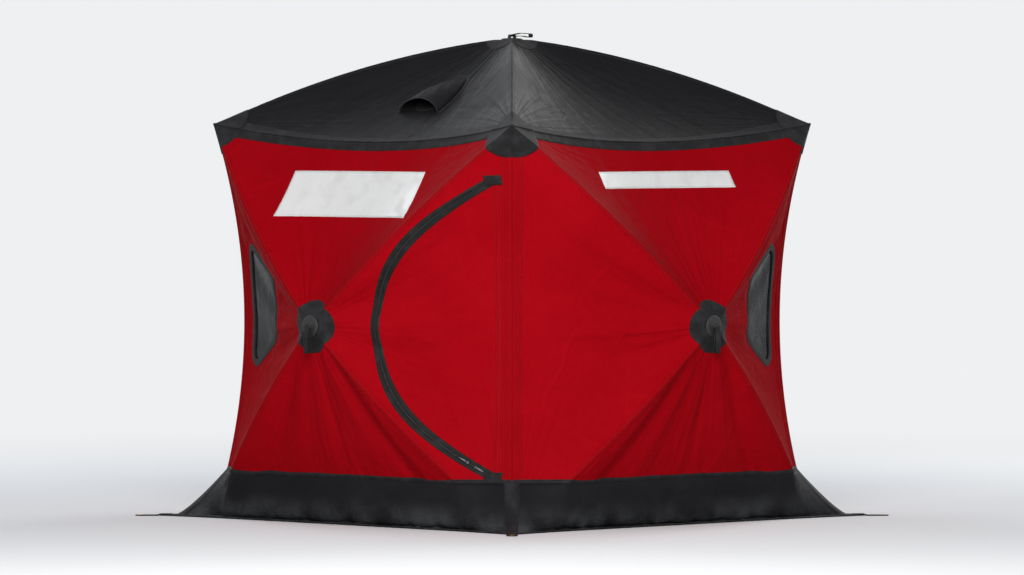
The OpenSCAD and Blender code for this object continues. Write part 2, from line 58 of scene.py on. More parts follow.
# Camera, corner-on at eye level and far away, as in the photograph
middle = Vector((0, 0, 0.97))
camera_turn = math.radians(45)
camera_rise = math.radians(1.4)
camera_away = 34.0
frame_width = 4.35
sensor = 36.0
camera_data = bpy.data.cameras.new("camera")
camera_data.sensor_width = sensor
camera_data.lens = sensor * camera_away / frame_width
camera_data.clip_end = 500
camera = add_object("camera", camera_data)
level = camera_away * math.cos(camera_rise)
camera.location = middle + Vector((
    level * math.sin(camera_turn), -level * math.cos(camera_turn), camera_away * math.sin(camera_rise)
))
aim_at(camera, middle)
scene.camera = camera


# Shader nodes
def feed(socket, value):
    """Links a value to a socket, or sets it. A colour is given as red, green and blue."""
    if isinstance(value, Value):
        socket.id_data.links.new(value.socket, socket)
    else:
        socket.default_value = (*value, 1) if socket.type == "RGBA" else value


def add_node(tree, kind, inputs, **settings):
    made = tree.nodes.new("ShaderNode" + kind)
    for name, value in settings.items():
        setattr(made, name, value)
    for name, value in inputs.items():
        feed(made.inputs[name], value)
    return made


def maths(operation, *numbers):
    """A math node on values and plain numbers."""
    tree = next(number.tree for number in numbers if isinstance(number, Value))
    return Value(add_node(tree, "Math", dict(enumerate(numbers)), operation=operation).outputs[0])


class Value:
    """What a node puts out. Sums and products of values make the nodes for them."""

    def __init__(self, socket):
        self.socket = socket
        self.tree = socket.id_data

    def __add__(self, other):
        return maths("ADD", self, other)

    def __sub__(self, other):
        return maths("SUBTRACT", self, other)

    def __rsub__(self, other):
        return maths("SUBTRACT", other, self)

    def __mul__(self, other):
        return maths("MULTIPLY", self, other)

    def __rtruediv__(self, other):
        return maths("DIVIDE", other, self)

    def into(self, kind, inputs, output, **settings):
        """What a new node puts out, with this value on its first input."""
        return Value(add_node(self.tree, kind, {0: self, **inputs}, **settings).outputs[output])

    def through(self, group, **inputs):
        """All that a shader group puts out, with this value on its first input."""
        made = add_node(self.tree, "Group", {0: self, **inputs}, node_tree=group)
        return {socket.name: Value(socket) for socket in made.outputs}

    def vector(self, operation, *others, output=0):
        return self.into("VectorMath", dict(enumerate(others, 1)), output, operation=operation)

    def scaled(self, factor):
        return self.into("VectorMath", {"Scale": factor}, 0, operation="SCALE")

    def axes(self):
        return [Value(socket) for socket in add_node(self.tree, "SeparateXYZ", {0: self}).outputs]

    def eased(self, low, high, start=0.0, end=1.0):
        """Goes smoothly from start to end as this value goes from low to high."""
        span = {"From Min": low, "From Max": high, "To Min": start, "To Max": end}
        return self.into("MapRange", span, "Result", interpolation_type="SMOOTHSTEP")

    def noise(self, size, detail=2.0):
        return self.into("TexNoise", {"Scale": 1 / size, "Detail": detail}, "Fac")

    def tint(self, first, second):
        """Goes from the first colour to the second as this value goes from 0 to 1."""
        return self.into("Mix", {6: first, 7: second}, 2, data_type="RGBA")


class Finish:
    """A new material, with constants set on its shader."""

    def __init__(self, name, **constants):
        self.material = bpy.data.materials.new(name)
        self.material.use_nodes = True
        self.tree = self.material.node_tree
        self.shader = self.tree.nodes["Principled BSDF"]
        for label, value in constants.items():
            feed(self.shader.inputs[label.replace("_", " ")], value)
        self.place = Value(add_node(self.tree, "TexCoord", {}).outputs["Object"])

    def map(self, name):
        return Value(add_node(self.tree, "UVMap", {}, uv_map=name).outputs["UV"])

    def done(self, color, rough, *heights, cover=None):
        """Feeds the shader, and bends its normal by pairs of a pattern and its height in metres."""
        fed = {"Base Color": color, "Roughness": rough}
        if cover:
            fed["Alpha"] = cover
        if heights:
            first, *more = [pattern * height for pattern, height in heights]
            levels = {"Strength": 1.0, "Distance": 1.0, "Height": sum(more, first)}
            fed["Normal"] = Value(add_node(self.tree, "Bump", levels).outputs["Normal"])
        for name, value in fed.items():
            feed(self.shader.inputs[name], value)
        return self.material


# Meshes
def read_points(mesh):
    flat = np.empty(len(mesh.vertices) * 3)
    mesh.vertices.foreach_get("co", flat)
    return flat.reshape(-1, 3)


def write_points(mesh, points):
    mesh.vertices.foreach_set("co", np.ascontiguousarray(points, dtype=np.float32).ravel())
    mesh.update()


def smooth(mesh):
    mesh.polygons.foreach_set("use_smooth", [True] * len(mesh.polygons))
    return mesh


def finished(name, bm):
    mesh = bpy.data.meshes.new(name)
    bm.to_mesh(mesh)
    bm.free()
    return smooth(mesh)


def add_plane(name, size):
    bm = bmesh.new()
    bmesh.ops.create_grid(bm, x_segments=1, y_segments=1, size=size)
    return add_object(name, finished(name, bm))


# Plain studio: a pale floor, a pale background and three soft lamps
pale = (0.86, 0.87, 0.88)


def straight_rays(tree, *kinds):
    """1 for rays from the camera and of the kinds named, and 0 for others."""
    path = add_node(tree, "LightPath", {}).outputs
    seen = Value(path["Is Camera Ray"])
    for kind in kinds:
        seen = maths("MAXIMUM", seen, Value(path[kind]))
    return seen


def show(share, first, second, end):
    """Shows the first shader where share is 0, and the second where it is 1."""
    shaders = {1: Value(first.outputs[0]), 2: Value(second.outputs[0])}
    mix = add_node(share.tree, "MixShader", {0: share, **shaders})
    feed(end.inputs["Surface"], Value(mix.outputs[0]))


world = bpy.data.worlds.new("studio")
scene.world = world
world.use_nodes = True
world_tree = world.node_tree
world_tree.nodes.clear()
fill = add_node(world_tree, "Background", {"Color": (0.80, 0.86, 0.95), "Strength": 0.30})
backdrop = add_node(world_tree, "Background", {"Color": pale, "Strength": 1.0})
show(straight_rays(world_tree, "Is Glossy Ray", "Is Transmission Ray"), fill, backdrop,
     add_node(world_tree, "OutputWorld", {}))

# The floor keeps the shadow near the object, and runs out into the background.
floor = add_plane("floor", 400)
floor_paint = Finish("floor", Base_Color=pale, Roughness=0.9, Specular_IOR_Level=0.1)
floor_tree = floor_paint.tree
floor_glow = add_node(floor_tree, "Emission", {"Color": pale})
far_off = floor_paint.place.vector("LENGTH", output="Value").eased(2.2, 9.0)
show(straight_rays(floor_tree, "Is Glossy Ray") * far_off, floor_paint.shader, floor_glow,
     floor_tree.nodes["Material Output"])
floor.data.materials.append(floor_paint.material)


def add_lamp(name, place, size, power, color):
    light = bpy.data.lights.new(name, "AREA")
    light.shape = "DISK"
    light.size = size
    light.energy = power
    light.color = color
    lamp = add_object(name, light)
    lamp.location = place
    aim_at(lamp, Vector((0, 0, 1)))


add_lamp("key", (5.9, -6.3, 4.4), 4.5, 620, (1, 0.985, 0.96))
add_lamp("left", (-8.0, 1.0, 5.0), 5.0, 200, (0.95, 0.97, 1))
add_lamp("back", (-1.0, 8.0, 5.0), 4.0, 270, (1, 1, 1))
scene.view_settings.view_transform = "Standard"

# Sizes, in metres. The frame gives the large ones.
wall_low, wall_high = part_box("front_wall")
half, corner_h = wall_high[0], wall_high[2]
hub_z = corner_h / 2
hub_out = -wall_low[1] - half
roof_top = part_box("roof_panel")[1][2]
seam_pull = 0.090
eave_pull, eave_drop = 0.074, 0.070
hem_lift = 0.022
ridge_bow, sector_sag = 0.050, 0.024
cloth_t, trim_t, film_t = 0.003, 0.0015, 0.0008
tuck = 0.001
ice_gap, ice_t = 0.0035, 0.001
skirt_out, skirt_flare, skirt_toe, skirt_t = 0.130, 0.045, 0.060, 0.002
knee_push, knee_z = 0.030, 0.034
tab_l, tab_w, tab_top, tab_t = 0.095, 0.046, 0.0042, 0.003
grommet_r = 0.0065
window_w, window_h, window_h_hub = 0.260, 0.470, 0.270
window_x, window_up, window_r = 0.560, 0.070, 0.036
border_w = 0.026
film_in = -0.0036
door_w, door_reach, door_inset = 0.480, 0.615, 0.058
strip_w, strip_h, slim_strip_h, strip_z = 0.780, 0.190, 0.070, 1.470
patch_r = 0.108
vent_r, vent_y = 0.060, 0.470
bar_z, bar_r, loop_l, loop_w, loop_t = 0.018, 0.0025, 0.105, 0.025, 0.002
cord_r, corner_cord_r, hood_cord_r = 0.0046, 0.0052, 0.0034
stitch_pitch, stitch_l, stitch_w, stitch_h = 0.0050, 0.0038, 0.0010, 0.0006

# Shares of the way from a panel's hub to its edge
seat = 0.06
skirt_line = 0.76
binding_end = 0.875
corner_reach = 0.155

# How sharply the cloth turns to its neighbour at a corner, and where it does so at an edge
mitre_power, mitre_start, mitre_width = 8, 0.95, 0.045

# How far round a window or vent the cloth is stiffer, and how much of its movement is left
stiff_reach, stiff_share = 0.07, 0.3

# Steps round a corner of an outline, and sides of a cord
corner_steps, cord_sides = 10, 8

# Cells across a panel, and the cells, frames and cloth of its simulation
panel_cells, sim_cells, sim_frames = 128, 80, 36
canvas = {
    "quality": 6, "mass": 0.15, "tension_stiffness": 30, "compression_stiffness": 12,
    "shear_stiffness": 8, "bending_stiffness": 0.4, "tension_damping": 8, "compression_damping": 8,
    "shear_damping": 8, "bending_damping": 1, "air_damping": 3, "vertex_group_mass": "held",
}


# Lines and grids of points
def column(*values):
    return np.array(values)[:, None]


def unit(vectors):
    return vectors / np.maximum(np.linalg.norm(vectors, axis=-1, keepdims=True), 1e-12)


def lengths(points, axis=0):
    """Metres along a line of points, or along each line of a grid."""
    steps = np.linalg.norm(np.diff(points, axis=axis), axis=-1)
    return np.insert(np.cumsum(steps, axis), 0, 0, axis)


def read_line(values, length, place):
    """What the values of a line's points are at other places along it."""
    return np.stack([np.interp(place, length, each) for each in values.T], -1)


def outwards(grid):
    """The way out of a grid whose columns run to the right and rows up, seen from outside."""
    return unit(np.cross(np.gradient(grid, axis=1), np.gradient(grid, axis=0)))


def turned(angle):
    """Turns points about the middle of the shelter, as points @ turned(angle)."""
    c, k = math.cos(angle), math.sin(angle)
    return np.array([[c, k, 0], [-k, c, 0], [0, 0, 1]])


def soft_step(share):
    return share * share * (3 - 2 * share)


# The panels' surfaces. s and t run from -1 to 1, across a panel and up it.
def from_middle(s, t):
    return np.maximum(np.maximum(np.abs(s), np.abs(t)), 1e-6)


def hollow(q, w):
    """The bow over the rods and the hollow between them; w is 0 midway between two rods."""
    return 4 * q * (1 - q) * (ridge_bow * np.abs(w) ** 3 - sector_sag * (1 - w ** 2))


def wall_surface(s, t):
    """A point of the front wall's outer face."""
    r = from_middle(s, t)
    es, et = s / r, t / r
    beside = np.abs(s) >= np.abs(t)
    pulled = half - seam_pull * (1 - et ** 2)
    arch = 1 - es ** 2
    x = np.where(beside, np.sign(s) * pulled, es * half)
    y = np.where(beside, -pulled, np.where(t > 0, eave_pull * arch - half, -half))
    z = np.where(beside, hub_z * (1 + et), np.where(t > 0, corner_h - eave_drop * arch, hem_lift * arch))
    q = np.clip((r - seat) / (1 - seat), 0, None)
    y = y * q - (half + hub_out) * (1 - q) - hollow(q, np.where(beside, et, es))
    return np.stack([x * r, y, hub_z * (1 - r) + z * r], -1)


def roof_surface(a, b):
    """A point of the roof's outer face."""
    r = from_middle(a, b)
    ahead = np.abs(b) >= np.abs(a)
    along = np.where(ahead, a, b) / r
    sign = np.where(ahead, np.sign(b), np.sign(a))
    arch = 1 - along ** 2
    edge = sign * (half - eave_pull * arch)
    x = np.where(ahead, along * half, edge)
    y = np.where(ahead, edge, along * half)
    q = np.clip((r - seat) / (1 - seat), 0, None)
    z = (corner_h - eave_drop * arch) * q + roof_top * (1 - q) + hollow(q, along)
    return np.stack([x * r, y * r, z], -1)


def larger_root(a, b, c):
    """The larger root u of a u² - b u + c = 0."""
    return (b + np.sqrt(np.maximum(b * b - 4 * a * c, 0))) / (2 * a)


def on_wall(x, z):
    """s and t of the point of a wall that lies at x and z, seen square from outside."""
    x, z = np.broadcast_arrays(np.asarray(x, float), np.asarray(z, float))
    up = z - hub_z
    t_side = up / hub_z
    s_side = np.sign(x) * larger_root(half - seam_pull, np.abs(x), seam_pull * t_side ** 2)
    s_mid = x / half
    high = larger_root(hub_z - eave_drop, up, eave_drop * s_mid ** 2)
    low = -larger_root(hub_z - hem_lift, -up, hem_lift * s_mid ** 2)
    beside = np.abs(s_side) >= np.abs(t_side)
    return np.where(beside, s_side, s_mid), np.where(beside, t_side, np.where(up > 0, high, low))


def on_roof(x, y):
    """a and b of the point of the roof that lies at x and y, seen from above."""
    x, y = np.broadcast_arrays(np.asarray(x, float), np.asarray(y, float))
    pull = half - eave_pull
    a_mid, b_mid = x / half, y / half
    b_edge = np.sign(y) * larger_root(pull, np.abs(y), eave_pull * a_mid ** 2)
    a_edge = np.sign(x) * larger_root(pull, np.abs(x), eave_pull * b_mid ** 2)
    ahead = np.abs(b_edge) >= np.abs(a_mid)
    return np.where(ahead, a_mid, a_edge), np.where(ahead, b_edge, b_mid)


# Flat outlines, in metres across and up
def rounded(centres, radius):
    """A convex outline with round corners, anticlockwise, from the corners' centres."""
    centres = np.array(centres)
    points = []
    for i, here in enumerate(centres):
        before, after = here - centres[i - 1], centres[(i + 1) % len(centres)] - here
        start = math.atan2(-before[0], before[1])
        end = math.atan2(-after[0], after[1])
        if end < start:
            end += 2 * math.pi
        for angle in np.linspace(start, end, corner_steps + 1):
            points.append(here + radius * np.array([math.cos(angle), math.sin(angle)]))
    return np.array(points)


def evenly(path, step, closed=False):
    """The same path with points a step apart."""
    if closed:
        path = np.concatenate([path, path[:1]])
    length = lengths(path)
    count = max(int(round(length[-1] / step)), 2)
    even = read_line(path, length, np.linspace(0, length[-1], count + 1))
    return even[:-1] if closed else even


def window_outline(side, grow=0.0):
    near = window_x - window_w / 2 + window_r
    far = window_x + window_w / 2 - window_r
    near_h = window_h_hub / 2 - window_r
    far_h = window_h / 2 - window_r
    outline = rounded([(near, -near_h), (far, -far_h), (far, far_h), (near, near_h)], window_r + grow)
    outline = outline + [0, hub_z + window_up]
    return outline if side > 0 else outline[::-1] * [-1, 1]


def door_side_x(z):
    return half - seam_pull * (1 - (z / hub_z - 1) ** 2) - door_inset


def zip_x(z):
    return door_side_x(z) - door_w * (1 - ((z - hub_z) / door_reach) ** 2)


def zip_line(step):
    z = np.linspace(hub_z - door_reach, hub_z + door_reach, 400)
    return evenly(np.stack([zip_x(z), z], -1), step)


def door_outline():
    z = np.linspace(hub_z - door_reach, hub_z + door_reach, 80)
    sewn = np.stack([door_side_x(z), z], -1)
    return np.concatenate([zip_line(step=0.012), sewn[-2:0:-1]])


def outline_distance(points, outline):
    """Distances of flat points from a closed outline, below 0 inside it, and the nearest
    places on it."""
    start, end = outline, np.roll(outline, -1, 0)
    edge = end - start
    off = points[:, None] - start
    share = np.clip((off * edge).sum(-1) / np.maximum((edge ** 2).sum(-1), 1e-12), 0, 1)
    near = start + share[..., None] * edge
    distance = np.linalg.norm(points[:, None] - near, axis=-1)
    pick = distance.argmin(1)
    row = np.arange(len(points))
    crosses = (start[:, 1] > points[:, None, 1]) != (end[:, 1] > points[:, None, 1])
    rise = np.where(edge[:, 1] == 0, 1, edge[:, 1])
    at = start[:, 0] + (points[:, None, 1] - start[:, 1]) / rise * edge[:, 0]
    inside = (crosses & (at > points[:, None, 0])).sum(1) % 2 == 1
    return np.where(inside, -1, 1) * distance[row, pick], near[row, pick]


# Cloth that settles
def grid_places(verts, columns, rows):
    """The column and row of each point of a new grid of size 1."""
    return {
        vert: (round((vert.co.x + 1) / 2 * columns), round((vert.co.y + 1) / 2 * rows))
        for vert in verts
    }


def new_grid(columns, rows, ridges=False):
    """A grid from -1 to 1. With ridges, its cells on the two diagonals are split along them."""
    bm = bmesh.new()
    bmesh.ops.create_grid(bm, x_segments=columns, y_segments=rows, size=1)
    if ridges:
        corner = {place: vert for vert, place in grid_places(bm.verts, columns, rows).items()}
        for i in range(columns):
            for a, b in (((i, i), (i + 1, i + 1)), ((i + 1, rows - i - 1), (i, rows - i))):
                first, second = corner[a], corner[b]
                face = next(f for f in first.link_faces if second in f.verts)
                bmesh.utils.face_split(face, first, second)
    return bm


def upsampled(coarse, cells):
    """A grid of values with more cells, read from a smooth surface through the coarse one."""
    n = len(coarse)
    place = np.linspace(0, n - 1, cells + 1)
    i = np.clip(np.floor(place).astype(int), 0, n - 2)
    f = place - i
    weights = [
        ((-f + 2) * f - 1) * f / 2,
        (3 * f - 5) * f * f / 2 + 1,
        ((-3 * f + 4) * f + 1) * f / 2,
        (f - 1) * f * f / 2,
    ]
    picks = [np.clip(i + k, 0, n - 1) for k in (-1, 0, 1, 2)]
    rows = sum(w[:, None, None] * coarse[p] for w, p in zip(weights, picks))
    return sum(w[None, :, None] * rows[:, p] for w, p in zip(weights, picks))


def discard(thing):
    mesh = thing.data
    bpy.data.objects.remove(thing)
    bpy.data.meshes.remove(mesh)


def settle(start, cut, held, pull, ridges=False, on_ice=False):
    """Lets a grid of cloth settle from start. cut is its shape without strain, held marks the
    points that stay, and pull is the share of gravity."""
    rows, columns = held.shape[0] - 1, held.shape[1] - 1
    mesh = finished("settling", new_grid(columns, rows, ridges))
    place = read_points(mesh)
    i = np.rint((place[:, 0] + 1) / 2 * columns).astype(int)
    j = np.rint((place[:, 1] + 1) / 2 * rows).astype(int)
    write_points(mesh, start[j, i])
    cloth = add_object("settling", mesh)
    cloth.shape_key_add(name="start")
    unstrained = cloth.shape_key_add(name="cut")
    unstrained.data.foreach_set("co", cut[j, i].astype(np.float32).ravel())
    unstrained.value = 0
    cloth.vertex_groups.new(name="held").add(np.nonzero(held[j, i])[0].tolist(), 1.0, "REPLACE")
    modifier = cloth.modifiers.new("settle", "CLOTH")
    for name, value in canvas.items():
        setattr(modifier.settings, name, value)
    modifier.settings.rest_shape_key = unstrained
    modifier.settings.effector_weights.gravity = pull
    modifier.collision_settings.use_collision = on_ice
    modifier.collision_settings.distance_min = ice_gap
    modifier.point_cache.frame_start = 1
    modifier.point_cache.frame_end = sim_frames
    if on_ice:
        ice = add_plane("ice", 3)
        ice.modifiers.new("ice", "COLLISION")
        ice.collision.thickness_outer = ice_t
    for step in range(1, sim_frames + 1):
        scene.frame_set(step)
    settled = np.empty_like(start)
    settled[j, i] = read_points(cloth.evaluated_get(bpy.context.evaluated_depsgraph_get()).data)
    scene.frame_set(1)
    discard(cloth)
    if on_ice:
        discard(ice)
    return settled


def relax(surface, slack, phase, pull):
    """How far each point of a panel's grid moves when its cloth, a little too wide, settles
    between its rods and seams. slack is the spare width above, beside and below the hub."""
    line = np.linspace(-1, 1, sim_cells + 1)
    s, t = np.meshgrid(line, line)
    start = surface(s, t)
    r = from_middle(s, t)
    beside = np.abs(s) >= np.abs(t)
    w = np.where(beside, t, s) / r
    spare = np.where(beside, slack[1], np.where(t > 0, slack[0], slack[2]))
    spare = spare * (1 + 0.5 * np.sin(3.1 * s + phase) * np.cos(2.7 * t + 1.7 * phase))
    at_rod = np.abs(w) ** 6
    off = start - start[sim_cells // 2, sim_cells // 2]
    cut = start.copy()
    up = 2 if surface is wall_surface else 1
    cut[..., 0] += off[..., 0] * np.where(beside, at_rod, 1) * spare
    cut[..., up] += off[..., up] * np.where(beside, 1, at_rod) * spare
    cell = 2 / sim_cells
    held = (np.abs(np.abs(s) - np.abs(t)) < cell * 0.4) | (r > 1 - cell * 0.5) | (r < seat + cell)
    return upsampled(settle(start, cut, held, pull, ridges=True) - start, panel_cells)


class Panel:
    """A panel's outer face: a grid of points over s and t, and the way out of the cloth there."""

    def __init__(self, surface, slack, phase, pull, turn, stiff):
        line = np.linspace(-1, 1, panel_cells + 1)
        self.s, self.t = np.meshgrid(line, line)
        wall = surface is wall_surface
        self.to_cloth = on_wall if wall else on_roof
        points = surface(self.s, self.t)
        self.flat = points[..., [0, 2]] if wall else points[..., :2]
        moved = relax(surface, slack, phase, pull)
        for outline in stiff:
            away, _ = outline_distance(self.flat.reshape(-1, 2), outline)
            ease = np.clip(away.reshape(self.s.shape) / stiff_reach, 0, 1)
            moved *= (stiff_share + (1 - stiff_share) * soft_step(ease))[..., None]
        points = points + moved
        reach_s, reach_t = (np.sign(v) * np.abs(v) ** mitre_power for v in (self.s, self.t))
        ones = np.ones_like(reach_s)
        corner = [reach_s, -ones, np.maximum(reach_t, 0)] if wall else [reach_s, reach_t, ones]
        share = np.clip((from_middle(self.s, self.t) - mitre_start) / mitre_width, 0, 1)[..., None]
        out = outwards(points) * (1 - share) + np.stack(corner, -1) * share
        self.turning = turned(turn)
        self.points = points @ self.turning
        self.outs = out @ self.turning

    def read(self, grid, s, t):
        """Values of a grid at s and t, of any shapes that go together. Cells on a diagonal are
        split along it."""
        x = np.clip((np.asarray(s, float) + 1) / 2 * panel_cells, 0, panel_cells)
        y = np.clip((np.asarray(t, float) + 1) / 2 * panel_cells, 0, panel_cells)
        i = np.minimum(x.astype(int), panel_cells - 1)
        j = np.minimum(y.astype(int), panel_cells - 1)
        f, g = (x - i)[..., None], (y - j)[..., None]
        low, right = grid[j, i], grid[j, i + 1]
        left, high = grid[j + 1, i], grid[j + 1, i + 1]
        value = low * (1 - f) * (1 - g) + right * f * (1 - g) + left * (1 - f) * g + high * f * g
        rising = np.where(f > g, low + (right - low) * f + (high - right) * g,
                          low + (left - low) * g + (high - left) * f)
        falling = np.where(f + g < 1, low + (right - low) * f + (left - low) * g,
                           high + (left - high) * (1 - f) + (right - high) * (1 - g))
        value = np.where((i == j)[..., None], rising, value)
        return np.where((i + j == panel_cells - 1)[..., None], falling, value)

    def at(self, s, t, out=0.0):
        """Points on the cloth, out metres outside its outer face."""
        return self.read(self.points, s, t) + np.asarray(out)[..., None] * self.read(self.outs, s, t)

    def on(self, x, z, out=0.0):
        """Points on the cloth over flat places."""
        return self.at(*self.to_cloth(x, z), out)

    def out(self, s, t):
        return unit(self.read(self.outs, s, t))

    def cord(self, s, t, out, radius):
        """Points of a round cord along a line of s and t."""
        return rod_points(self.at(s, t, out), self.out(s, t), radius)


# Sheets and bands that follow the cloth
def lay_out(bm, faces, places, points, maps):
    """Moves a grid's vertices to its points, and fills UV maps with values at the points."""
    for name, values in maps.items():
        layer = bm.loops.layers.uv.get(name) or bm.loops.layers.uv.new(name)
        for face in faces:
            for loop in face.loops:
                i, j = places[loop.vert]
                loop[layer].uv = values[j, i]
    for vert, (i, j) in places.items():
        vert.co = points[j, i]


def add_sheet(bm, points, joined=False):
    """Adds a grid of points to a mesh, and its metres as its UV map. Columns run to the right
    and rows up, seen from outside. joined closes it where its ends meet."""
    rows, columns = points.shape[0] - 1, points.shape[1] - 1
    made = bmesh.ops.create_grid(bm, x_segments=columns, y_segments=rows, size=1)["verts"]
    faces = {face for vert in made for face in vert.link_faces}
    metres = np.meshgrid(lengths(points, 1)[(rows + 1) // 2], lengths(points)[:, (columns + 1) // 2])
    lay_out(bm, faces, grid_places(made, columns, rows), points, {"metres": np.stack(metres, -1)})
    if joined:
        bmesh.ops.remove_doubles(bm, verts=made, dist=1e-6)


def to_the_right(path, closed):
    """Unit vectors to the right of a flat path."""
    ahead = np.roll(path, -1, 0) - np.roll(path, 1, 0)
    if not closed:
        ahead[0], ahead[-1] = path[1] - path[0], path[-1] - path[-2]
    ahead = unit(ahead)
    return np.stack([ahead[:, 1], -ahead[:, 0]], -1)


def band(panel, path, profile, closed=False):
    """Points of a band sewn along a flat path. The profile is a list of a distance to the right
    of the path and a height over the cloth. Open ends are tucked in."""
    right = to_the_right(path, closed)
    profile = np.array(profile)
    flat = path[:, None] + profile[:, :1] * right[:, None]
    high = np.tile(profile[:, 1], (len(path), 1))
    if closed:
        flat, high = (np.concatenate([v, v[:1]]) for v in (flat, high))
    else:
        flat = np.concatenate([flat[:1], flat, flat[-1:]])
        high = np.pad(high, ((1, 1), (0, 0)), constant_values=-tuck)
    return panel.on(flat[..., 0], flat[..., 1], high)


def rod_points(path, out, radius):
    """Points of a round cord along a path. out is the way out of the cloth."""
    ahead = unit(np.gradient(path, axis=0))
    right = unit(np.cross(ahead, out))
    out = np.cross(right, ahead)
    turn = np.linspace(0, 2 * math.pi, cord_sides + 1)[None, :, None]
    return path[:, None] + radius * (np.sin(turn) * out[:, None] - np.cos(turn) * right[:, None])


def disc_points(panel, outline, rings):
    """Points of a disc sewn on the cloth, from its outline in. rings lists each ring's share of
    the outline's size, and its height."""
    centre = outline.mean(0)
    outline = np.concatenate([outline, outline[:1]])
    share, high = np.array(rings).T[..., None]
    flat = centre + share[..., None] * (outline - centre)
    return panel.on(flat[..., 0], flat[..., 1], high)


def add_patch(bm, panel, centre, size, cells, raised):
    """Adds a rectangle that is sewn flat on a panel, with its edges tucked in. raised gives its
    height at places from -1 to 1 across it and up it."""
    across, up = (np.pad(np.linspace(-1, 1, count + 1), 1, mode="edge") for count in cells)
    lift = np.zeros((len(up), len(across))) + raised(across[None], up[:, None])
    lift[[0, -1]] = lift[:, [0, -1]] = -tuck
    x, z = centre[0] + across * size[0] / 2, centre[1] + up * size[1] / 2
    add_sheet(bm, panel.on(x[None], z[:, None], lift))


def hold_side(distance, side, place, near):
    """Moves the grid's points next to an outline onto it, so that no edge crosses it."""
    within = distance < 0
    snapped = np.zeros(side.shape, bool)
    for a, b in ((np.s_[:, :-1], np.s_[:, 1:]), (np.s_[:-1], np.s_[1:])):
        crossing = within[a] != within[b]
        first = np.abs(distance[a]) <= np.abs(distance[b])
        snapped[a] |= crossing & first
        snapped[b] |= crossing & ~first
    place[snapped] = near[snapped]
    return np.where(snapped, 0, np.where(within, -1, side))


def cut_cloth(panel, outlines, keep=False):
    """A panel's cloth with holes cut along outlines, or only what is inside them."""
    n = panel_cells
    side = np.ones((n + 1, n + 1), int)
    place = panel.flat.copy()
    for outline in outlines:
        distance, near = outline_distance(panel.flat.reshape(-1, 2), outline)
        side = hold_side(distance.reshape(side.shape), side, place, near.reshape(place.shape))
    if keep:
        side = -side
    s, t = panel.to_cloth(place[..., 0], place[..., 1])
    s, t = np.where(side == 0, s, panel.s), np.where(side == 0, t, panel.t)
    points = panel.at(s, t)
    bm = new_grid(n, n, ridges=True)
    at = grid_places(bm.verts, n, n)
    mark = {vert: side[j, i] for vert, (i, j) in at.items()}
    for face in list(bm.faces):
        marks = [mark[vert] for vert in face.verts]
        if min(marks) < 0 < max(marks):
            edge = [vert for vert in face.verts if mark[vert] == 0]
            bmesh.utils.face_split(face, edge[0], edge[1])
    totals = {face: sum(mark[vert] for vert in face.verts) for face in bm.faces}
    dropped = [face for face, total in totals.items() if total < 0]
    unsure = [face for face, total in totals.items() if total == 0]
    if unsure:
        middles = [np.mean([place[at[vert][::-1]] for vert in face.verts], 0) for face in unsure]
        within = np.any([outline_distance(np.array(middles), outline)[0] < 0 for outline in outlines], 0)
        dropped += [face for face, inside in zip(unsure, within) if inside != keep]
    lay_out(bm, bm.faces, at, points, {
        "metres": np.stack([lengths(points, 1), lengths(points)], -1),
        "panel": (np.stack([s, t], -1) + 1) / 2,
    })
    bmesh.ops.delete(bm, geom=dropped, context="FACES")
    return bm


# Stitches are gathered for each side of the shelter and made together at the end.
stitch_lines = {}


def add_stitches(group, path, out):
    """Marks stitches along a line of points. out is the way out of the cloth along it."""
    length = lengths(path)
    count = max(int(length[-1] / stitch_pitch), 1)
    middles = (np.arange(count) + 0.5) * length[-1] / count
    behind, here, before = (read_line(path, length, middles + k * stitch_pitch) for k in (-0.4, 0, 0.4))
    stitch_lines.setdefault(group, []).append((here, before - behind, read_line(out, length, middles)))


def sew(group, panel, s, t, high):
    """Stitches along a line of s and t."""
    add_stitches(group, panel.at(s, t, high), panel.out(s, t))


def sew_beside(group, panel, path, offset, high, closed=False, step=0.006):
    """Stitches to the right of a flat path on a panel."""
    flat = path + offset * to_the_right(path, closed)
    if closed:
        flat = np.concatenate([flat, flat[:1]])
    sew(group, panel, *panel.to_cloth(*evenly(flat, step).T), high)


def sew_box(group, panel, centre, reach, high, step=0.006):
    """Stitches along the four sides of a flat box."""
    box = np.array([(-1, -1), (1, -1), (1, 1), (-1, 1), (-1, -1)]) * reach + centre
    for ends in zip(box, box[1:]):
        sew_beside(group, panel, np.array(ends), 0.0, high, step=step)


def turns_of(ahead, out):
    """Euler turns that lay X ahead and Z out."""
    x = unit(ahead)
    y = unit(np.cross(out, x))
    z = np.cross(x, y)
    return np.stack([
        np.arctan2(y[:, 2], z[:, 2]),
        np.arcsin(np.clip(-x[:, 2], -1, 1)),
        np.arctan2(x[:, 1], x[:, 0]),
    ], -1)


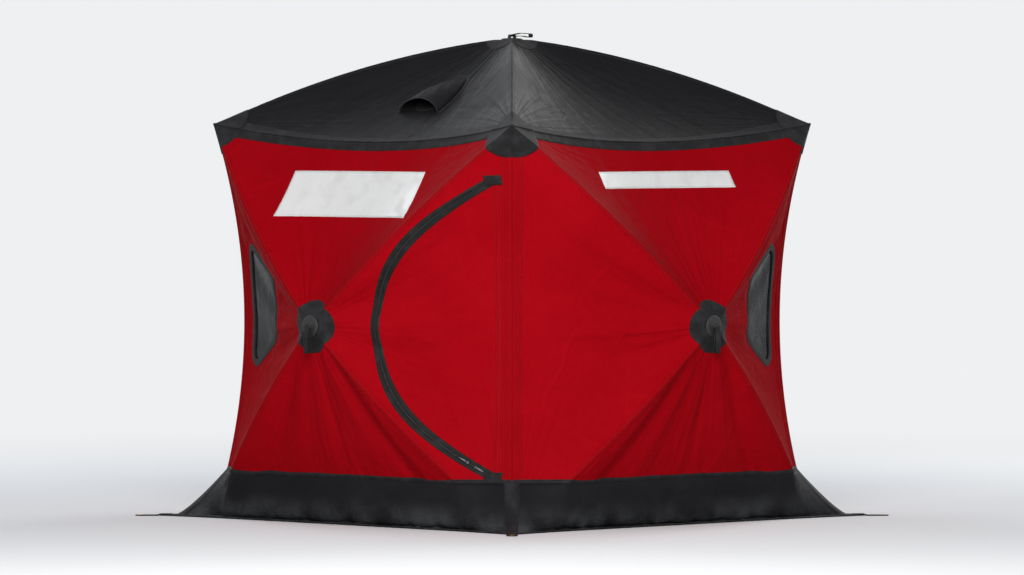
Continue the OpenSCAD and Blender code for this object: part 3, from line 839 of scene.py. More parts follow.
def copies_group(template):
    """Geometry nodes that put a copy of a mesh on each point and join them."""
    tree = bpy.data.node_groups.new("copies", "GeometryNodeTree")
    for way in ("INPUT", "OUTPUT"):
        tree.interface.new_socket(name="Geometry", in_out=way, socket_type="NodeSocketGeometry")
    start, shape, turn, put, join, end = (tree.nodes.new(kind) for kind in (
        "NodeGroupInput", "GeometryNodeObjectInfo", "GeometryNodeInputNamedAttribute",
        "GeometryNodeInstanceOnPoints", "GeometryNodeRealizeInstances", "NodeGroupOutput",
    ))
    shape.inputs["Object"].default_value = template
    turn.data_type = "FLOAT_VECTOR"
    turn.inputs["Name"].default_value = "turn"
    for given, taken in (
        (start.outputs[0], put.inputs["Points"]),
        (shape.outputs["Geometry"], put.inputs["Instance"]),
        (turn.outputs["Attribute"], put.inputs["Rotation"]),
        (put.outputs["Instances"], join.inputs["Geometry"]),
        (join.outputs["Geometry"], end.inputs[0]),
    ):
        tree.links.new(given, taken)
    return tree


def copies(name, template, points, ahead, out):
    """One mesh of copies of a small mesh, each with X ahead and Z out."""
    carrier = bpy.data.meshes.new(name)
    carrier.vertices.add(len(points))
    write_points(carrier, points)
    turn = carrier.attributes.new("turn", "FLOAT_VECTOR", "POINT")
    turn.data.foreach_set("vector", turns_of(ahead, out).astype(np.float32).ravel())
    holder = add_object(name, carrier)
    shape = bpy.data.objects.new("copied", template)
    holder.modifiers.new("copies", "NODES").node_group = copies_group(shape)
    made = holder.evaluated_get(bpy.context.evaluated_depsgraph_get())
    mesh = bpy.data.meshes.new_from_object(made)
    mesh.name = name
    spent = mesh.attributes.get("turn")
    if spent:
        mesh.attributes.remove(spent)
    bpy.data.objects.remove(shape)
    discard(holder)
    return smooth(mesh)


def add_piece(name, shape, material, slot, *replaced, thick=0.0, inside=None):
    """Adds a mesh as a piece. thick is a sheet's thickness, inwards from its outer face."""
    mesh = finished(name, shape) if isinstance(shape, bmesh.types.BMesh) else shape
    piece = add_object(name, mesh)
    mesh.materials.clear()
    mesh.materials.append(material)
    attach(piece, "root")
    if replaced:
        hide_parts(*replaced)
    if thick:
        modifier = piece.modifiers.new("thickness", "SOLIDIFY")
        modifier.thickness = thick
        modifier.offset = -1
        if inside:
            mesh.materials.append(inside)
            modifier.material_offset = 1
    return piece


# Shader groups. The name of each is its function's, and its inputs come as values.
def shader_group(**inputs):
    def build(work):
        tree = bpy.data.node_groups.new(work.__name__, "ShaderNodeTree")
        for label, kind in inputs.items():
            tree.interface.new_socket(name=label, in_out="INPUT", socket_type="NodeSocket" + kind)
        given = tree.nodes.new("NodeGroupInput").outputs
        results = work(*[Value(given[label]) for label in inputs])
        for label in results:
            tree.interface.new_socket(name=label, in_out="OUTPUT", socket_type="NodeSocketFloat")
        taken = tree.nodes.new("NodeGroupOutput").inputs
        for label, value in results.items():
            feed(taken[label], value)
        return tree

    return build


@shader_group(Place="Vector", Pitch="Float")
def weave(place, pitch):
    """A plain weave. Pitch is the width of two threads, in the unit of Place."""
    x, y, _ = place.scaled(2 * math.pi / pitch).axes()
    return {"Height": maths("SINE", x) * maths("SINE", y) * 0.5 + 0.5}


@shader_group(Place="Vector", Size="Float")
def creases(place, size):
    """Marks left by packing: thin folds that fade in and out, and a soft rumple."""
    place = place.scaled(1.0 / size)
    drift = place.into("TexNoise", {"Scale": 1.4, "Detail": 2.0}, "Color")
    bent = drift.vector("MULTIPLY_ADD", (0.5, 0.5, 0.5), place)
    edge = bent.into("TexVoronoi", {"Scale": 1.0}, "Distance", feature="DISTANCE_TO_EDGE")
    fold = edge.eased(0.0, 0.07, 1.0, 0.0) * place.noise(1.6, 1.0).eased(0.44, 0.62)
    return {"Fold": fold, "Rumple": place.noise(0.5, 3.0)}


@shader_group(Panel="Vector")
def puckers(panel):
    """Small gathers along the seams of a panel, whose UV map runs from 0 to 1 each way."""
    across, up = (maths("ABSOLUTE", side * 2.0 - 1.0) for side in panel.axes()[:2])
    far, near = maths("MAXIMUM", across, up), maths("MINIMUM", across, up)
    wander = panel.noise(0.06) * 9.0
    height, nearness = [], []
    for line, distance, turns, sharp in ((far, far - near, 300.0, -38.0), (near, 1.0 - far, 260.0, -30.0)):
        fade = maths("EXPONENT", distance * sharp)
        height.append(maths("SINE", line * turns + wander) * fade)
        nearness.append(fade)
    return {"Height": height[0] + height[1], "Near": maths("MAXIMUM", *nearness)}


@shader_group(Panel="Vector")
def pulls(panel):
    """Tension folds that run out from a panel's hub and corners, on the same map."""
    from_hub = panel.vector("MULTIPLY_ADD", (2, 2, 0), (-1, -1, 0))
    from_corner = from_hub.vector("SIGN").vector("SUBTRACT", from_hub)
    height = []
    for reach, width, fading in ((from_hub, 0.085, -3.0), (from_corner, 0.060, -4.0)):
        far = reach.vector("LENGTH", output="Value")
        streaks = reach.vector("NORMALIZE").noise(width, 1.0) - 0.5
        height.append(streaks * (far * maths("EXPONENT", far * fading)))
    return {"Height": height[0] + height[1]}


@shader_group(Place="Vector", Top="Float")
def frost(place, top):
    """Powder of snow that clings low down. Top is the height where it ends, in metres."""
    low = place.axes()[2].eased(0.0, top, 1.0, 0.0)
    cover = place.noise(0.16) * 0.6 + place.noise(0.004, 3.0) * 0.4
    return {"Mask": low * cover.eased(0.38, 0.68)}


@shader_group(Place="Vector")
def scuffs(place):
    """Fine scratches and rubbed patches on moulded and metal pieces."""
    scratches = place.into("Mapping", {"Scale": (1, 1, 7)}, 0).noise(0.004).eased(0.60, 0.68)
    return {"Rubbed": scratches * place.noise(0.03).eased(0.48, 0.66), "Grain": place.noise(0.0012)}


# Materials
def ridges(across, pitch):
    """Round ridges a pitch apart, from 0 between them to 1 on top."""
    return maths("ABSOLUTE", maths("SINE", across * (math.pi / pitch)))


def shell_cloth(name, color, faded_and_fold_highlight, rough, shine=0.05, gathers=True, snow_top=0.0):
    """Coated woven cloth with patches of fading, a painted highlight on its folds and, with gathers, painted
    shade along its seams, and snow up to snow_top.
    """
    finish = Finish(name, Specular_IOR_Level=shine)
    place = finish.place
    woven = finish.map("metres").through(weave, Pitch=0.0013)["Height"]
    large, small = place.through(creases, Size=0.34), place.through(creases, Size=0.10)
    heights = [
        (woven, 0.00007), (large["Fold"], 0.0016), (large["Rumple"], 0.010),
        (small["Fold"], 0.0006), (small["Rumple"], 0.0020),
    ]
    # Fading in patches is the cloth's own colour; the paler tint on the folds is a painted highlight.
    tint_share = large["Fold"] * 0.35 + place.noise(0.45).eased(0.35, 0.7)
    if gathers:
        panel_map = finish.map("panel")
        gathered = panel_map.through(puckers)
        heights += [(gathered["Height"], 0.0011), (panel_map.through(pulls)["Height"], 0.06)]
        # Painted shade: the cloth keeps its darker colour along the puckered seams.
        tint_share = tint_share - gathered["Near"] * 0.4
    cloth = (tint_share * 0.45).tint((woven * 0.35).tint(color, faded_and_fold_highlight), faded_and_fold_highlight)
    dull = tint_share * 0.10 + rough
    if snow_top:
        powder = place.through(frost, Top=snow_top)["Mask"]
        cloth = (powder * 0.07).tint(cloth, (0.80, 0.84, 0.88))
        dull = powder * 0.25 + dull
    return finish.done(cloth, dull, *heights)


def quilted_lining():
    """The inside: dark cloth quilted in diamonds."""
    finish = Finish("quilted_lining", Specular_IOR_Level=0.2)
    metres = finish.map("metres")
    u, v, _ = metres.axes()
    puffed = maths("POWER", ridges(u + v, 0.11) * ridges(u - v, 0.11), 0.35)
    woven = metres.through(weave, Pitch=0.001)["Height"]
    # Painted shade and highlight: the quilt's valleys are tinted darker and its puffs paler, following their
    # height.
    color = puffed.tint((0.012, 0.012, 0.014), (0.04, 0.04, 0.045))
    return finish.done(color, woven * 0.1 + 0.6, (puffed, 0.003), (woven, 0.00005))


def ribbed_tape(name, color, worn, pitch, height):
    """Woven tape or webbing with ribs across it, and rubbed edges of its threads."""
    finish = Finish(name, Specular_IOR_Level=0.15)
    metres = finish.map("metres")
    ribs = ridges(metres.axes()[1], pitch)
    woven = metres.through(weave, Pitch=pitch)["Height"]
    rub = finish.place.noise(0.05).eased(0.42, 0.7) * ribs
    heights = (ribs, height), (woven, height * 0.5), (finish.place.noise(0.03), 0.0012)
    return finish.done((rub * 0.6).tint(color, worn), ribs * 0.1 + 0.62, *heights)


def smoked_film():
    """Flexible window film: smoked, a little wavy, and hazy where it has been rubbed."""
    finish = Finish("smoked_film", Specular_IOR_Level=0.03)
    place = finish.place
    haze = place.noise(0.08, 4.0).eased(0.5, 0.75)
    marks = place.through(scuffs)["Rubbed"]
    color = haze.tint((0.012, 0.013, 0.015), (0.05, 0.052, 0.055))
    rough = marks * 0.2 + (haze * 0.10 + 0.05)
    return finish.done(color, rough, (place.noise(0.12), 0.004), cover=marks * 0.10 + (haze * 0.06 + 0.76))


def pale_tape():
    """Pale reflective tape: tiny cells under a smooth face, with rubbed and dusty patches."""
    finish = Finish("pale_tape", Specular_IOR_Level=0.5, Metallic=0.1)
    cell = finish.map("metres").into(
        "TexVoronoi", {"Scale": 420.0, "Randomness": 0.1}, "Distance", feature="DISTANCE_TO_EDGE"
    ).eased(0.02, 0.16)
    tint_share = finish.place.noise(0.07, 4.0).eased(0.45, 0.72)
    pearl = cell.tint((0.62, 0.62, 0.62), (0.80, 0.80, 0.79))
    color = (tint_share * 0.5).tint(pearl, (0.62, 0.61, 0.60))
    marks = finish.place.through(creases, Size=0.09)
    heights = (cell, 0.00004), (marks["Fold"], 0.0003), (marks["Rumple"], 0.0015)
    return finish.done(color, tint_share * 0.25 + 0.34, *heights)


def moulded(name, color, rubbed, rough, metal=0.0):
    finish = Finish(name, Specular_IOR_Level=0.4, Metallic=metal)
    marks = finish.place.through(scuffs)
    patches = finish.place.noise(0.05)
    color = (marks["Rubbed"] * 0.7 + patches * 0.15).tint(color, rubbed)
    return finish.done(color, patches * 0.2 + rough, (marks["Grain"], 0.00005), (marks["Rubbed"], -0.0001))


def glass_rod():
    """Drawn glass-fibre rod: off-white, with fibres that show through the resin."""
    finish = Finish("glass_rod", Specular_IOR_Level=0.5)
    fibres = finish.place.noise(0.0015, 4.0)
    stain = finish.place.noise(0.12).eased(0.4, 0.7)
    resin = fibres.tint((0.50, 0.48, 0.38), (0.74, 0.73, 0.64))
    color = (stain * 0.3).tint(resin, (0.40, 0.36, 0.25))
    return finish.done(color, fibres * 0.2 + 0.28, (fibres, 0.00006))


def insect_mesh():
    """Knitted mesh: threads each way, with open holes between them."""
    finish = Finish("insect_mesh", Specular_IOR_Level=0.2)
    u, v, _ = finish.map("metres").axes()
    cover = maths("MAXIMUM", ridges(u, 0.0016), ridges(v, 0.0016)).eased(0.80, 0.92)
    color = finish.place.noise(0.01).tint((0.01, 0.01, 0.01), (0.035, 0.035, 0.035))
    return finish.done(color, cover * 0.1 + 0.55, cover=maths("MAXIMUM", cover, 0.15))


def sewing_thread(name, color, shine):
    finish = Finish(name, Specular_IOR_Level=0.3)
    twist = finish.place.noise(0.0008, 1.0)
    return finish.done(twist.tint(color, shine), twist * 0.2 + 0.5)


red_shell = shell_cloth("red_shell", (0.30, 0.0015, 0.005), (0.37, 0.003, 0.008), 0.50, 0.006)
black_shell = shell_cloth("black_shell", (0.006, 0.006, 0.007), (0.014, 0.014, 0.015), 0.52, 0.06)
red_trim = shell_cloth("red_trim", (0.27, 0.0015, 0.004), (0.34, 0.003, 0.008), 0.52, 0.006, gathers=False)
black_trim = shell_cloth("black_trim", (0.008, 0.008, 0.009), (0.020, 0.020, 0.022), 0.52, gathers=False)
skirt_cloth = shell_cloth("skirt_cloth", (0.007, 0.007, 0.008), (0.020, 0.020, 0.022), 0.55,
                          gathers=False, snow_top=0.13)
lining = quilted_lining()
binding_tape = ribbed_tape("binding_tape", (0.010, 0.010, 0.011), (0.035, 0.035, 0.038), 0.0011, 0.00012)
strap_webbing = ribbed_tape("strap_webbing", (0.012, 0.012, 0.012), (0.05, 0.05, 0.05), 0.0022, 0.00035)
zip_tape = ribbed_tape("zip_tape", (0.010, 0.010, 0.010), (0.035, 0.035, 0.035), 0.0008, 0.0001)
window_film = smoked_film()
reflective_tape = pale_tape()
black_nylon = moulded("black_nylon", (0.014, 0.014, 0.015), (0.07, 0.07, 0.07), 0.42)
zip_nylon = moulded("zip_nylon", (0.012, 0.012, 0.012), (0.04, 0.04, 0.04), 0.30)
zip_metal = moulded("zip_metal", (0.06, 0.06, 0.062), (0.20, 0.20, 0.205), 0.36, metal=1.0)
stamped_brass = moulded("stamped_brass", (0.52, 0.34, 0.12), (0.78, 0.60, 0.30), 0.28, metal=1.0)
rod_glass = glass_rod()
vent_net = insect_mesh()
threads = {
    "black": sewing_thread("black_thread", (0.014, 0.014, 0.015), (0.05, 0.05, 0.055)),
    "red": sewing_thread("red_thread", (0.15, 0.003, 0.005), (0.32, 0.012, 0.016)),
    "grey": sewing_thread("grey_thread", (0.20, 0.20, 0.20), (0.42, 0.42, 0.42)),
}


# Cloth panels
walls = ["front", "right", "back", "left"]
window_sides = {"front": [-1], "right": [1], "back": [-1, 1], "left": [-1, 1]}
following = dict(zip(walls, walls[1:] + walls[:1]))
vent_turn = np.linspace(0, 2 * math.pi, 48, endpoint=False)
vent_disc = np.stack([np.cos(vent_turn), np.sin(vent_turn)], -1) * vent_r
vents = [vent_disc + (0, end * vent_y) for end in (-1, 1)]
panels = {}
for number, wall in enumerate(walls):
    stiff = [window_outline(side, border_w) for side in window_sides[wall]]
    panels[wall] = Panel(wall_surface, (0.006, 0.010, 0.014), 1.3 + number, 0.6, number * math.pi / 2, stiff)
panels["roof"] = Panel(roof_surface, (0.007, 0.007, 0.007), 0.4, 0.5, 0.0, vents)
front, roof = panels["front"], panels["roof"]

rods_and_hub = {name: [name + "_rods", name + "_hub"] for name in panels}
hatch = door_outline()
# The cloth of each wall, its windows and door cut out
for wall in walls:
    holes = [window_outline(side) for side in window_sides[wall]]
    if wall == "front":
        holes.append(hatch)
    piece = add_piece(wall + "_wall_cloth", cut_cloth(panels[wall], holes), red_shell, "wall_fabric",
                      wall + "_wall", thick=cloth_t, inside=lining)
piece = add_piece("roof_cloth", cut_cloth(roof, vents), black_shell, "roof_fabric", "roof_panel",
                  thick=cloth_t, inside=lining)
piece = add_piece("door_cloth", cut_cloth(front, [hatch], keep=True), red_shell, "wall_fabric", "door_panel",
                  thick=cloth_t, inside=lining)


# Seams over the rods and beside the door: two lapped edges, sewn twice
def lines_between(low, high):
    """Grid lines of the panels, and the middles between them."""
    return np.arange(round(low * panel_cells), round(high * panel_cells) + 1) / panel_cells


seam_line, seam_start, seam_end = 0.0058, 0.078, 0.90
lap = [(-0.0090, -tuck), (-0.0085, 0.0009), (-seam_line, 0.0004), (-0.0030, 0.0013), (0, 0.0018),
       (0.0030, 0.0013), (seam_line, 0.0004), (0.0085, 0.0009), (0.0090, -tuck)]
for name, panel in panels.items():
    thread, cloth, slot = "_red", red_trim, "wall_fabric"
    if panel is roof:
        thread, cloth, slot = "_black", black_trim, "roof_fabric"
    paths = []
    for across, up in ((1, 1), (-1, 1), (-1, -1), (1, -1)):
        r = lines_between(seam_start, seam_end if up > 0 or panel is roof else skirt_line)
        rise = up * half * r if panel is roof else hub_z * (1 + up * r)
        paths.append(np.stack([across * half * r, rise], -1))
    if panel is front:
        z = hub_z + np.linspace(-1, 1, 160) * (door_reach - 0.01)
        paths.append(np.stack([door_side_x(z), z], -1))
    bm = bmesh.new()
    for path in paths:
        add_sheet(bm, band(panel, path, lap))
        for offset in (-seam_line, seam_line):
            sew_beside(name + thread, panel, path, offset, high=0.0008)
    add_piece(name + "_seams", bm, cloth, slot)


# Bindings where two panels meet. Each is folded over a cord in the seam.
bound_share = 1 - np.array([0.0480, 0.0465, 0.0350, 0.0180, 0.0060, 0.0])
bound_high = np.array([-tuck, 0.0016, 0.0019, 0.0019, 0.0022, 0.0024])
bound_lines = (1 - 0.0420, 1 - 0.0090)
bound_top, cord_lift = 0.0022, 0.0012
bindings = {"front": "front_right_binding", "right": "back_right_binding",
            "back": "back_left_binding", "left": "front_left_binding"}
for wall, name in bindings.items():
    first, second = panels[wall], panels[following[wall]]
    t = lines_between(-skirt_line - 0.005, binding_end)
    bm = bmesh.new()
    add_sheet(bm, first.at(bound_share[None], t[:, None], bound_high[None]))
    add_sheet(bm, second.at(-bound_share[None, ::-1], t[:, None], bound_high[None, ::-1]))
    add_sheet(bm, first.cord(1.0, t, cord_lift, cord_r))
    add_piece(name + "_tape", bm, red_trim, "wall_fabric", name)
    for share in bound_lines:
        sew(wall + "_red", first, share, t, bound_top)
        sew(wall + "_red", second, -share, t, bound_top)


def roof_side(number, run, away):
    """a and b on the roof of a place run along a wall's eave and away from the hub."""
    return [(run, -away), (away, run), (-run, away), (-away, -run)][number]


bm = bmesh.new()
run = lines_between(-binding_end, binding_end)
for number, wall in enumerate(walls):
    panel = panels[wall]
    inner = roof_side(number, run[None], bound_share[::-1, None])
    add_sheet(bm, panel.at(run[None], bound_share[:, None], bound_high[:, None]))
    add_sheet(bm, roof.at(*inner, bound_high[::-1, None]))
    add_sheet(bm, panel.cord(run, 1.0, cord_lift, cord_r))
    for share in bound_lines:
        sew(wall + "_black", panel, run, share, bound_top)
        sew("roof_black", roof, *roof_side(number, run, share), bound_top)
add_piece("eave_binding_tape", bm, binding_tape, "binding", "eave_bindings")


# Upper corners: a rounded patch with a flap on each panel, and the cords meeting under it
flap_share = column(1.012, 1.0, 0.93, 0.8, 0.6, 0.4, 0.2, 0.0)
flap_high = column(-tuck, 0.0034, 0.0040, 0.0042, 0.0044, 0.0046, 0.0048, 0.0050)
flap_turn = np.linspace(0, math.pi / 2, 25)
edge = lines_between(0.85, 1.0)
tip_r, tip_lift = 0.0064, 0.0030


def round_corner(across, up, share):
    """s and t along an arc round a panel's corner, at a share of the flap's reach."""
    reach = corner_reach * share
    return across * (1 - reach * np.cos(flap_turn)), up * (1 - reach * np.sin(flap_turn))


bm = bmesh.new()
for wall, roof_corner in zip(walls, ((1, -1), (1, 1), (-1, 1), (-1, -1))):
    beyond = following[wall]
    for name, across, up in ((wall, 1, 1), (beyond, -1, 1), ("roof", *roof_corner)):
        points = panels[name].at(*round_corner(across, up, flap_share), flap_high)
        add_sheet(bm, points if across * up > 0 else points[:, ::-1])
        for share in (0.95, 0.87):
            sew(name + "_black", panels[name], *round_corner(across, up, share), high=0.0044)
    for name, s, t in ((wall, 1.0, edge), (wall, edge, 1.0), (beyond, -edge, 1.0)):
        add_sheet(bm, panels[name].cord(s, t, out=0.0032, radius=corner_cord_r))
    tip = Matrix.Translation(panels[wall].at(1.0, 1.0, tip_lift))
    bmesh.ops.create_icosphere(bm, subdivisions=3, radius=tip_r, matrix=tip)
add_piece("corner_patch_cloth", bm, binding_tape, "binding", "corner_patches")


# Round patches under the hub caps, sewn in rings
def between_rods(lean):
    """A round outline of radius 1 with points on the four rods, which lean up from level."""
    ends = [-lean, lean, math.pi - lean, math.pi + lean, 2 * math.pi - lean]
    turn = np.concatenate([np.linspace(a, b, 24, endpoint=False) for a, b in zip(ends, ends[1:])])
    return np.stack([np.cos(turn), np.sin(turn)], -1)


bm = bmesh.new()
rings = [(1.006, -tuck), (1.0, 0.0012), (0.985, 0.0020), (0.93, 0.0022), (0.75, 0.0022),
         (0.55, 0.0024), (0.40, 0.0024), (0.12, 0.0024)]
for name, panel in panels.items():
    centre, lean = ((0, 0), half) if panel is roof else ((0, hub_z), hub_z)
    circle = between_rods(math.atan2(lean, half))
    add_sheet(bm, disc_points(panel, circle * patch_r + centre, rings), joined=True)
    for radius in (patch_r - 0.007, patch_r - 0.014, 0.057):
        sew_beside(name + "_black", panel, circle * radius + centre, 0.0, high=0.0027, closed=True)
add_piece("hub_patch_cloth", bm, binding_tape, "binding", "hub_patches")


# Windows: smoked film inside the cloth, and a border sewn round each hole
border = [(-0.0045, film_in), (-0.0045, 0.0006), (-0.0025, 0.0019), (0.004, 0.0021), (0.013, 0.0015),
          (0.022, 0.0021), (0.0255, 0.0012), (0.0262, -tuck)]
film_rings = [(share, film_in) for share in np.linspace(1, 0, 10)]
borders = bmesh.new()
for wall, sides in window_sides.items():
    panel = panels[wall]
    film = bmesh.new()
    for side in sides:
        outline = evenly(window_outline(side), step=0.006, closed=True)
        add_sheet(borders, band(panel, outline, border, closed=True), joined=True)
        for offset in (0.0050, 0.0205):
            sew_beside(wall + "_black", panel, outline, offset, high=0.0021, closed=True)
        sheet = evenly(window_outline(side, grow=0.012), step=0.012, closed=True)
        add_sheet(film, disc_points(panel, sheet, film_rings), joined=True)
    name = wall + ("_windows" if len(sides) > 1 else "_window")
    add_piece(name + "_film", film, window_film, "window_film", name, thick=film_t)
add_piece("window_border_tape", borders, binding_tape, "binding", "window_borders")


# Pale strips across the walls' upper fields
strip_inset, strip_cell, strip_t = 0.006, 0.008, 0.0011
bm = bmesh.new()
for wall, tall in zip(walls, (strip_h, slim_strip_h, strip_h, slim_strip_h)):
    size = np.array([strip_w, tall])
    centre = (0, strip_z - tall / 2)
    rows = max(round(tall / strip_cell), 4) - 1
    add_patch(bm, panels[wall], centre, size, (90, rows), lambda across, up: strip_t)
    sew_box(wall + "_grey", panels[wall], centre, size / 2 - strip_inset, high=0.0012)
add_piece("reflective_tapes", bm, reflective_tape, "reflective_tape", "reflective_strips")


# The door's zip: two tapes, a row of teeth and two sliders
line = zip_line(step=0.006)
tape = [(0.0032, 0.0004), (0.0040, 0.0018), (0.0095, 0.0017), (0.0165, 0.0012), (0.0170, -tuck)]
under_teeth = [(-0.0036, 0.0004), (0.0, 0.0006), (0.0036, 0.0004)]
bm = bmesh.new()
for side in (-1, 1):
    add_sheet(bm, band(front, line, [(side * offset, high) for offset, high in tape][::side]))
    sew_beside("front_black", front, line, side * 0.0125, high=0.0016)
add_sheet(bm, band(front, line, under_teeth))
add_piece("zip_tapes", bm, zip_tape, "zip_tape", "door_zip")


# A stop of webbing sewn over each end of the zip, flat in the middle and round at its edges
stop_size = np.array([0.058, 0.040])
stop_in, stop_down = 0.006, 0.004
stop_edge, stop_rise, stop_flat = 0.0020, 0.0028, 0.72


def stop_height(across, up):
    falls = (np.clip((np.abs(v) - stop_flat) / (1 - stop_flat), 0, 1) for v in (across, up))
    edge_x, edge_z = (1 - fall ** 2 for fall in falls)
    return stop_edge + stop_rise * edge_x * edge_z


bm = bmesh.new()
for end in (-1, 1):
    z = hub_z + end * (door_reach - stop_down)
    centre = (door_side_x(z) - stop_in, z)
    add_patch(bm, front, centre, stop_size, (14, 10), stop_height)
    for inset in (0.0040, 0.0085):
        sew_box("front_black", front, centre, stop_size / 2 - inset, high=0.0040, step=0.003)
add_piece("zip_stops", bm, strap_webbing, "webbing")


def add_block(bm, size):
    made = bmesh.ops.create_cube(bm, size=1)["verts"]
    bmesh.ops.scale(bm, vec=size, verts=made)
    return made


def soften(bm, width, segments):
    """Bevels every edge of a mesh."""
    bmesh.ops.bevel(bm, geom=bm.edges[:], offset=width, affect="EDGES", segments=segments,
                    profile=0.5, material=-1)


tooth_size, tooth_pitch, tooth_high = (0.0017, 0.0072, 0.0020), 0.0026, 0.0016
bm = bmesh.new()
add_block(bm, tooth_size)
soften(bm, 0.0004, 1)
teeth = zip_line(tooth_pitch)
place, out = front.on(*teeth.T, tooth_high), front.out(*on_wall(*teeth.T))
rows_of_teeth = copies("zip_teeth", finished("tooth", bm), place, np.gradient(place, axis=0), out)
add_piece("zip_teeth", rows_of_teeth, zip_nylon, "zip_tape")


slider_l, slider_w, slider_taper, slider_high = 0.013, 0.0105, 0.72, 0.0020
bridge_reach, bridge_z, bridge_rise, bridge_r = 0.0042, 0.0038, 0.0030, 0.0009
pull_start, pull_end, pull_half_w, pull_belly = -0.001, -0.036, 0.0026, 0.0012
pull_z, pull_drop, pull_half_t = 0.0062, 0.0030, 0.0007


def slider_mesh():
    """A zip slider with its bridge and pull, X along the zip and Z out of the cloth."""
    bm = bmesh.new()
    for low, thick in ((0.0030, 0.0016), (-0.0010, 0.0012)):
        made = add_block(bm, (slider_l, slider_w, thick))
        for vert in made:
            vert.co.y *= slider_taper if vert.co.x < 0 else 1
        bmesh.ops.translate(bm, vec=(0, 0, low), verts=made)
    soften(bm, 0.0005, 2)
    turn = np.linspace(0, math.pi, 15)
    bridge = np.stack([bridge_reach * np.cos(turn), 0 * turn, bridge_z + bridge_rise * np.sin(turn)], -1)
    add_sheet(bm, rod_points(bridge, np.tile([0.0, 1.0, 0.0], (len(turn), 1)), bridge_r))
    share = np.linspace(0, 1, 16)
    x = pull_start + (pull_end - pull_start) * share
    wide = pull_half_w + pull_belly * np.sin(math.pi * share)
    drop = pull_z - pull_drop * share ** 0.5
    for face in (1, -1):
        across = np.linspace(-1, 1, 7)[:, None] * face
        y = across * wide
        z = drop + face * pull_half_t * np.sqrt(np.clip(1 - across ** 2, 0, 1))
        add_sheet(bm, np.stack([np.broadcast_to(x, y.shape), y, z], -1)[:, ::-1])
    return finished("slider", bm)


heights = hub_z - door_reach * np.array([0.930, 0.895])
place, ahead = (front.on(zip_x(z), z, slider_high) for z in (heights, heights + 0.002))
ahead = (ahead - place) * column(1, -1)
out = front.out(*on_wall(zip_x(heights), heights))
add_piece("zip_sliders", copies("zip_sliders", slider_mesh(), place, ahead, out), zip_metal, "zip_tape")


# The skirt: sewn to the walls, it falls in loose folds and its toe lies on the ice.
skirt_columns, fall_rows, toe_rows = 112, 17, 6
sewn_high, toe_high, start_low, settled_low = 0.0028, 0.005, 0.004, 0.0026
start_folds, cut_folds = 0.0045, 0.0105
wall_gap = 0.0105


def skirt_shape(panel, number):
    """Where a wall's skirt starts and how it was cut, seen from the front, from its toe up."""
    s = np.linspace(-1, 1, skirt_columns + 1)
    top = panel.at(s, -skirt_line, sewn_high) @ panel.turning.T
    q = np.linspace(1, 0, fall_rows)[:, None, None]

    def ground(out):
        side = half + out + skirt_flare * s ** 4
        return np.stack([s * side, -side, np.full_like(s, toe_high)], -1)

    toe = ground(skirt_out - skirt_toe)
    knee = (top + toe) / 2
    knee[:, 0] += np.sign(s) * knee_push * np.abs(s) ** mitre_power
    knee[:, 1] -= knee_push
    knee[:, 2] = knee_z
    fall = top * (1 - q) ** 2 + knee * 2 * q * (1 - q) + toe * q * q
    flat = np.stack([ground(out) for out in np.linspace(skirt_out, skirt_out - skirt_toe, toe_rows + 1)[:-1]])
    start = np.concatenate([flat, fall])
    down = np.concatenate([np.ones(toe_rows), np.linspace(1, 0, fall_rows)])[:, None]
    chance = np.random.default_rng(40 + number)
    waves = np.zeros((len(down), len(s)))
    for length in (0.31, 0.20, 0.135, 0.092):
        phase, skew = chance.uniform(0, 2 * math.pi), chance.uniform(-0.5, 0.5)
        waves += np.sin(2 * math.pi * s / length + phase + skew * down) * (0.45 + length)
    waves *= down ** 0.8 * (1 - np.abs(s) ** 10)
    folds = outwards(start) * waves[..., None]
    return start + folds * start_folds, start + folds * cut_folds


skirts, skirt_outs = {}, {}
for number, wall in enumerate(walls):
    panel = panels[wall]
    start, cut = skirt_shape(panel, number)
    held = np.zeros(start.shape[:2], bool)
    held[-1] = held[:, 0] = held[:, -1] = True
    start[:, [0, -1]] = cut[:, [0, -1]]
    start[..., 2] = np.maximum(start[..., 2], start_low)
    points = settle(start, cut, held, 1.0, on_ice=True)
    points[..., 2] = np.maximum(points[..., 2], settled_low)
    behind = panel.on(np.clip(points[..., 0], -half, half), points[..., 2], wall_gap) @ panel.turning.T
    over = (np.abs(points[..., 0]) < half) & (points[..., 2] > hem_lift) & ~held
    points[..., 1] = np.where(over, np.minimum(points[..., 1], behind[..., 1]), points[..., 1])
    skirts[wall] = points @ panel.turning
    skirt_outs[wall] = outwards(skirts[wall])
    bm = bmesh.new()
    add_sheet(bm, skirts[wall])
    piece = add_piece(wall + "_skirt_cloth", bm, skirt_cloth, "skirt_fabric", wall + "_skirt", thick=skirt_t)
    wall + "_wall_cloth"

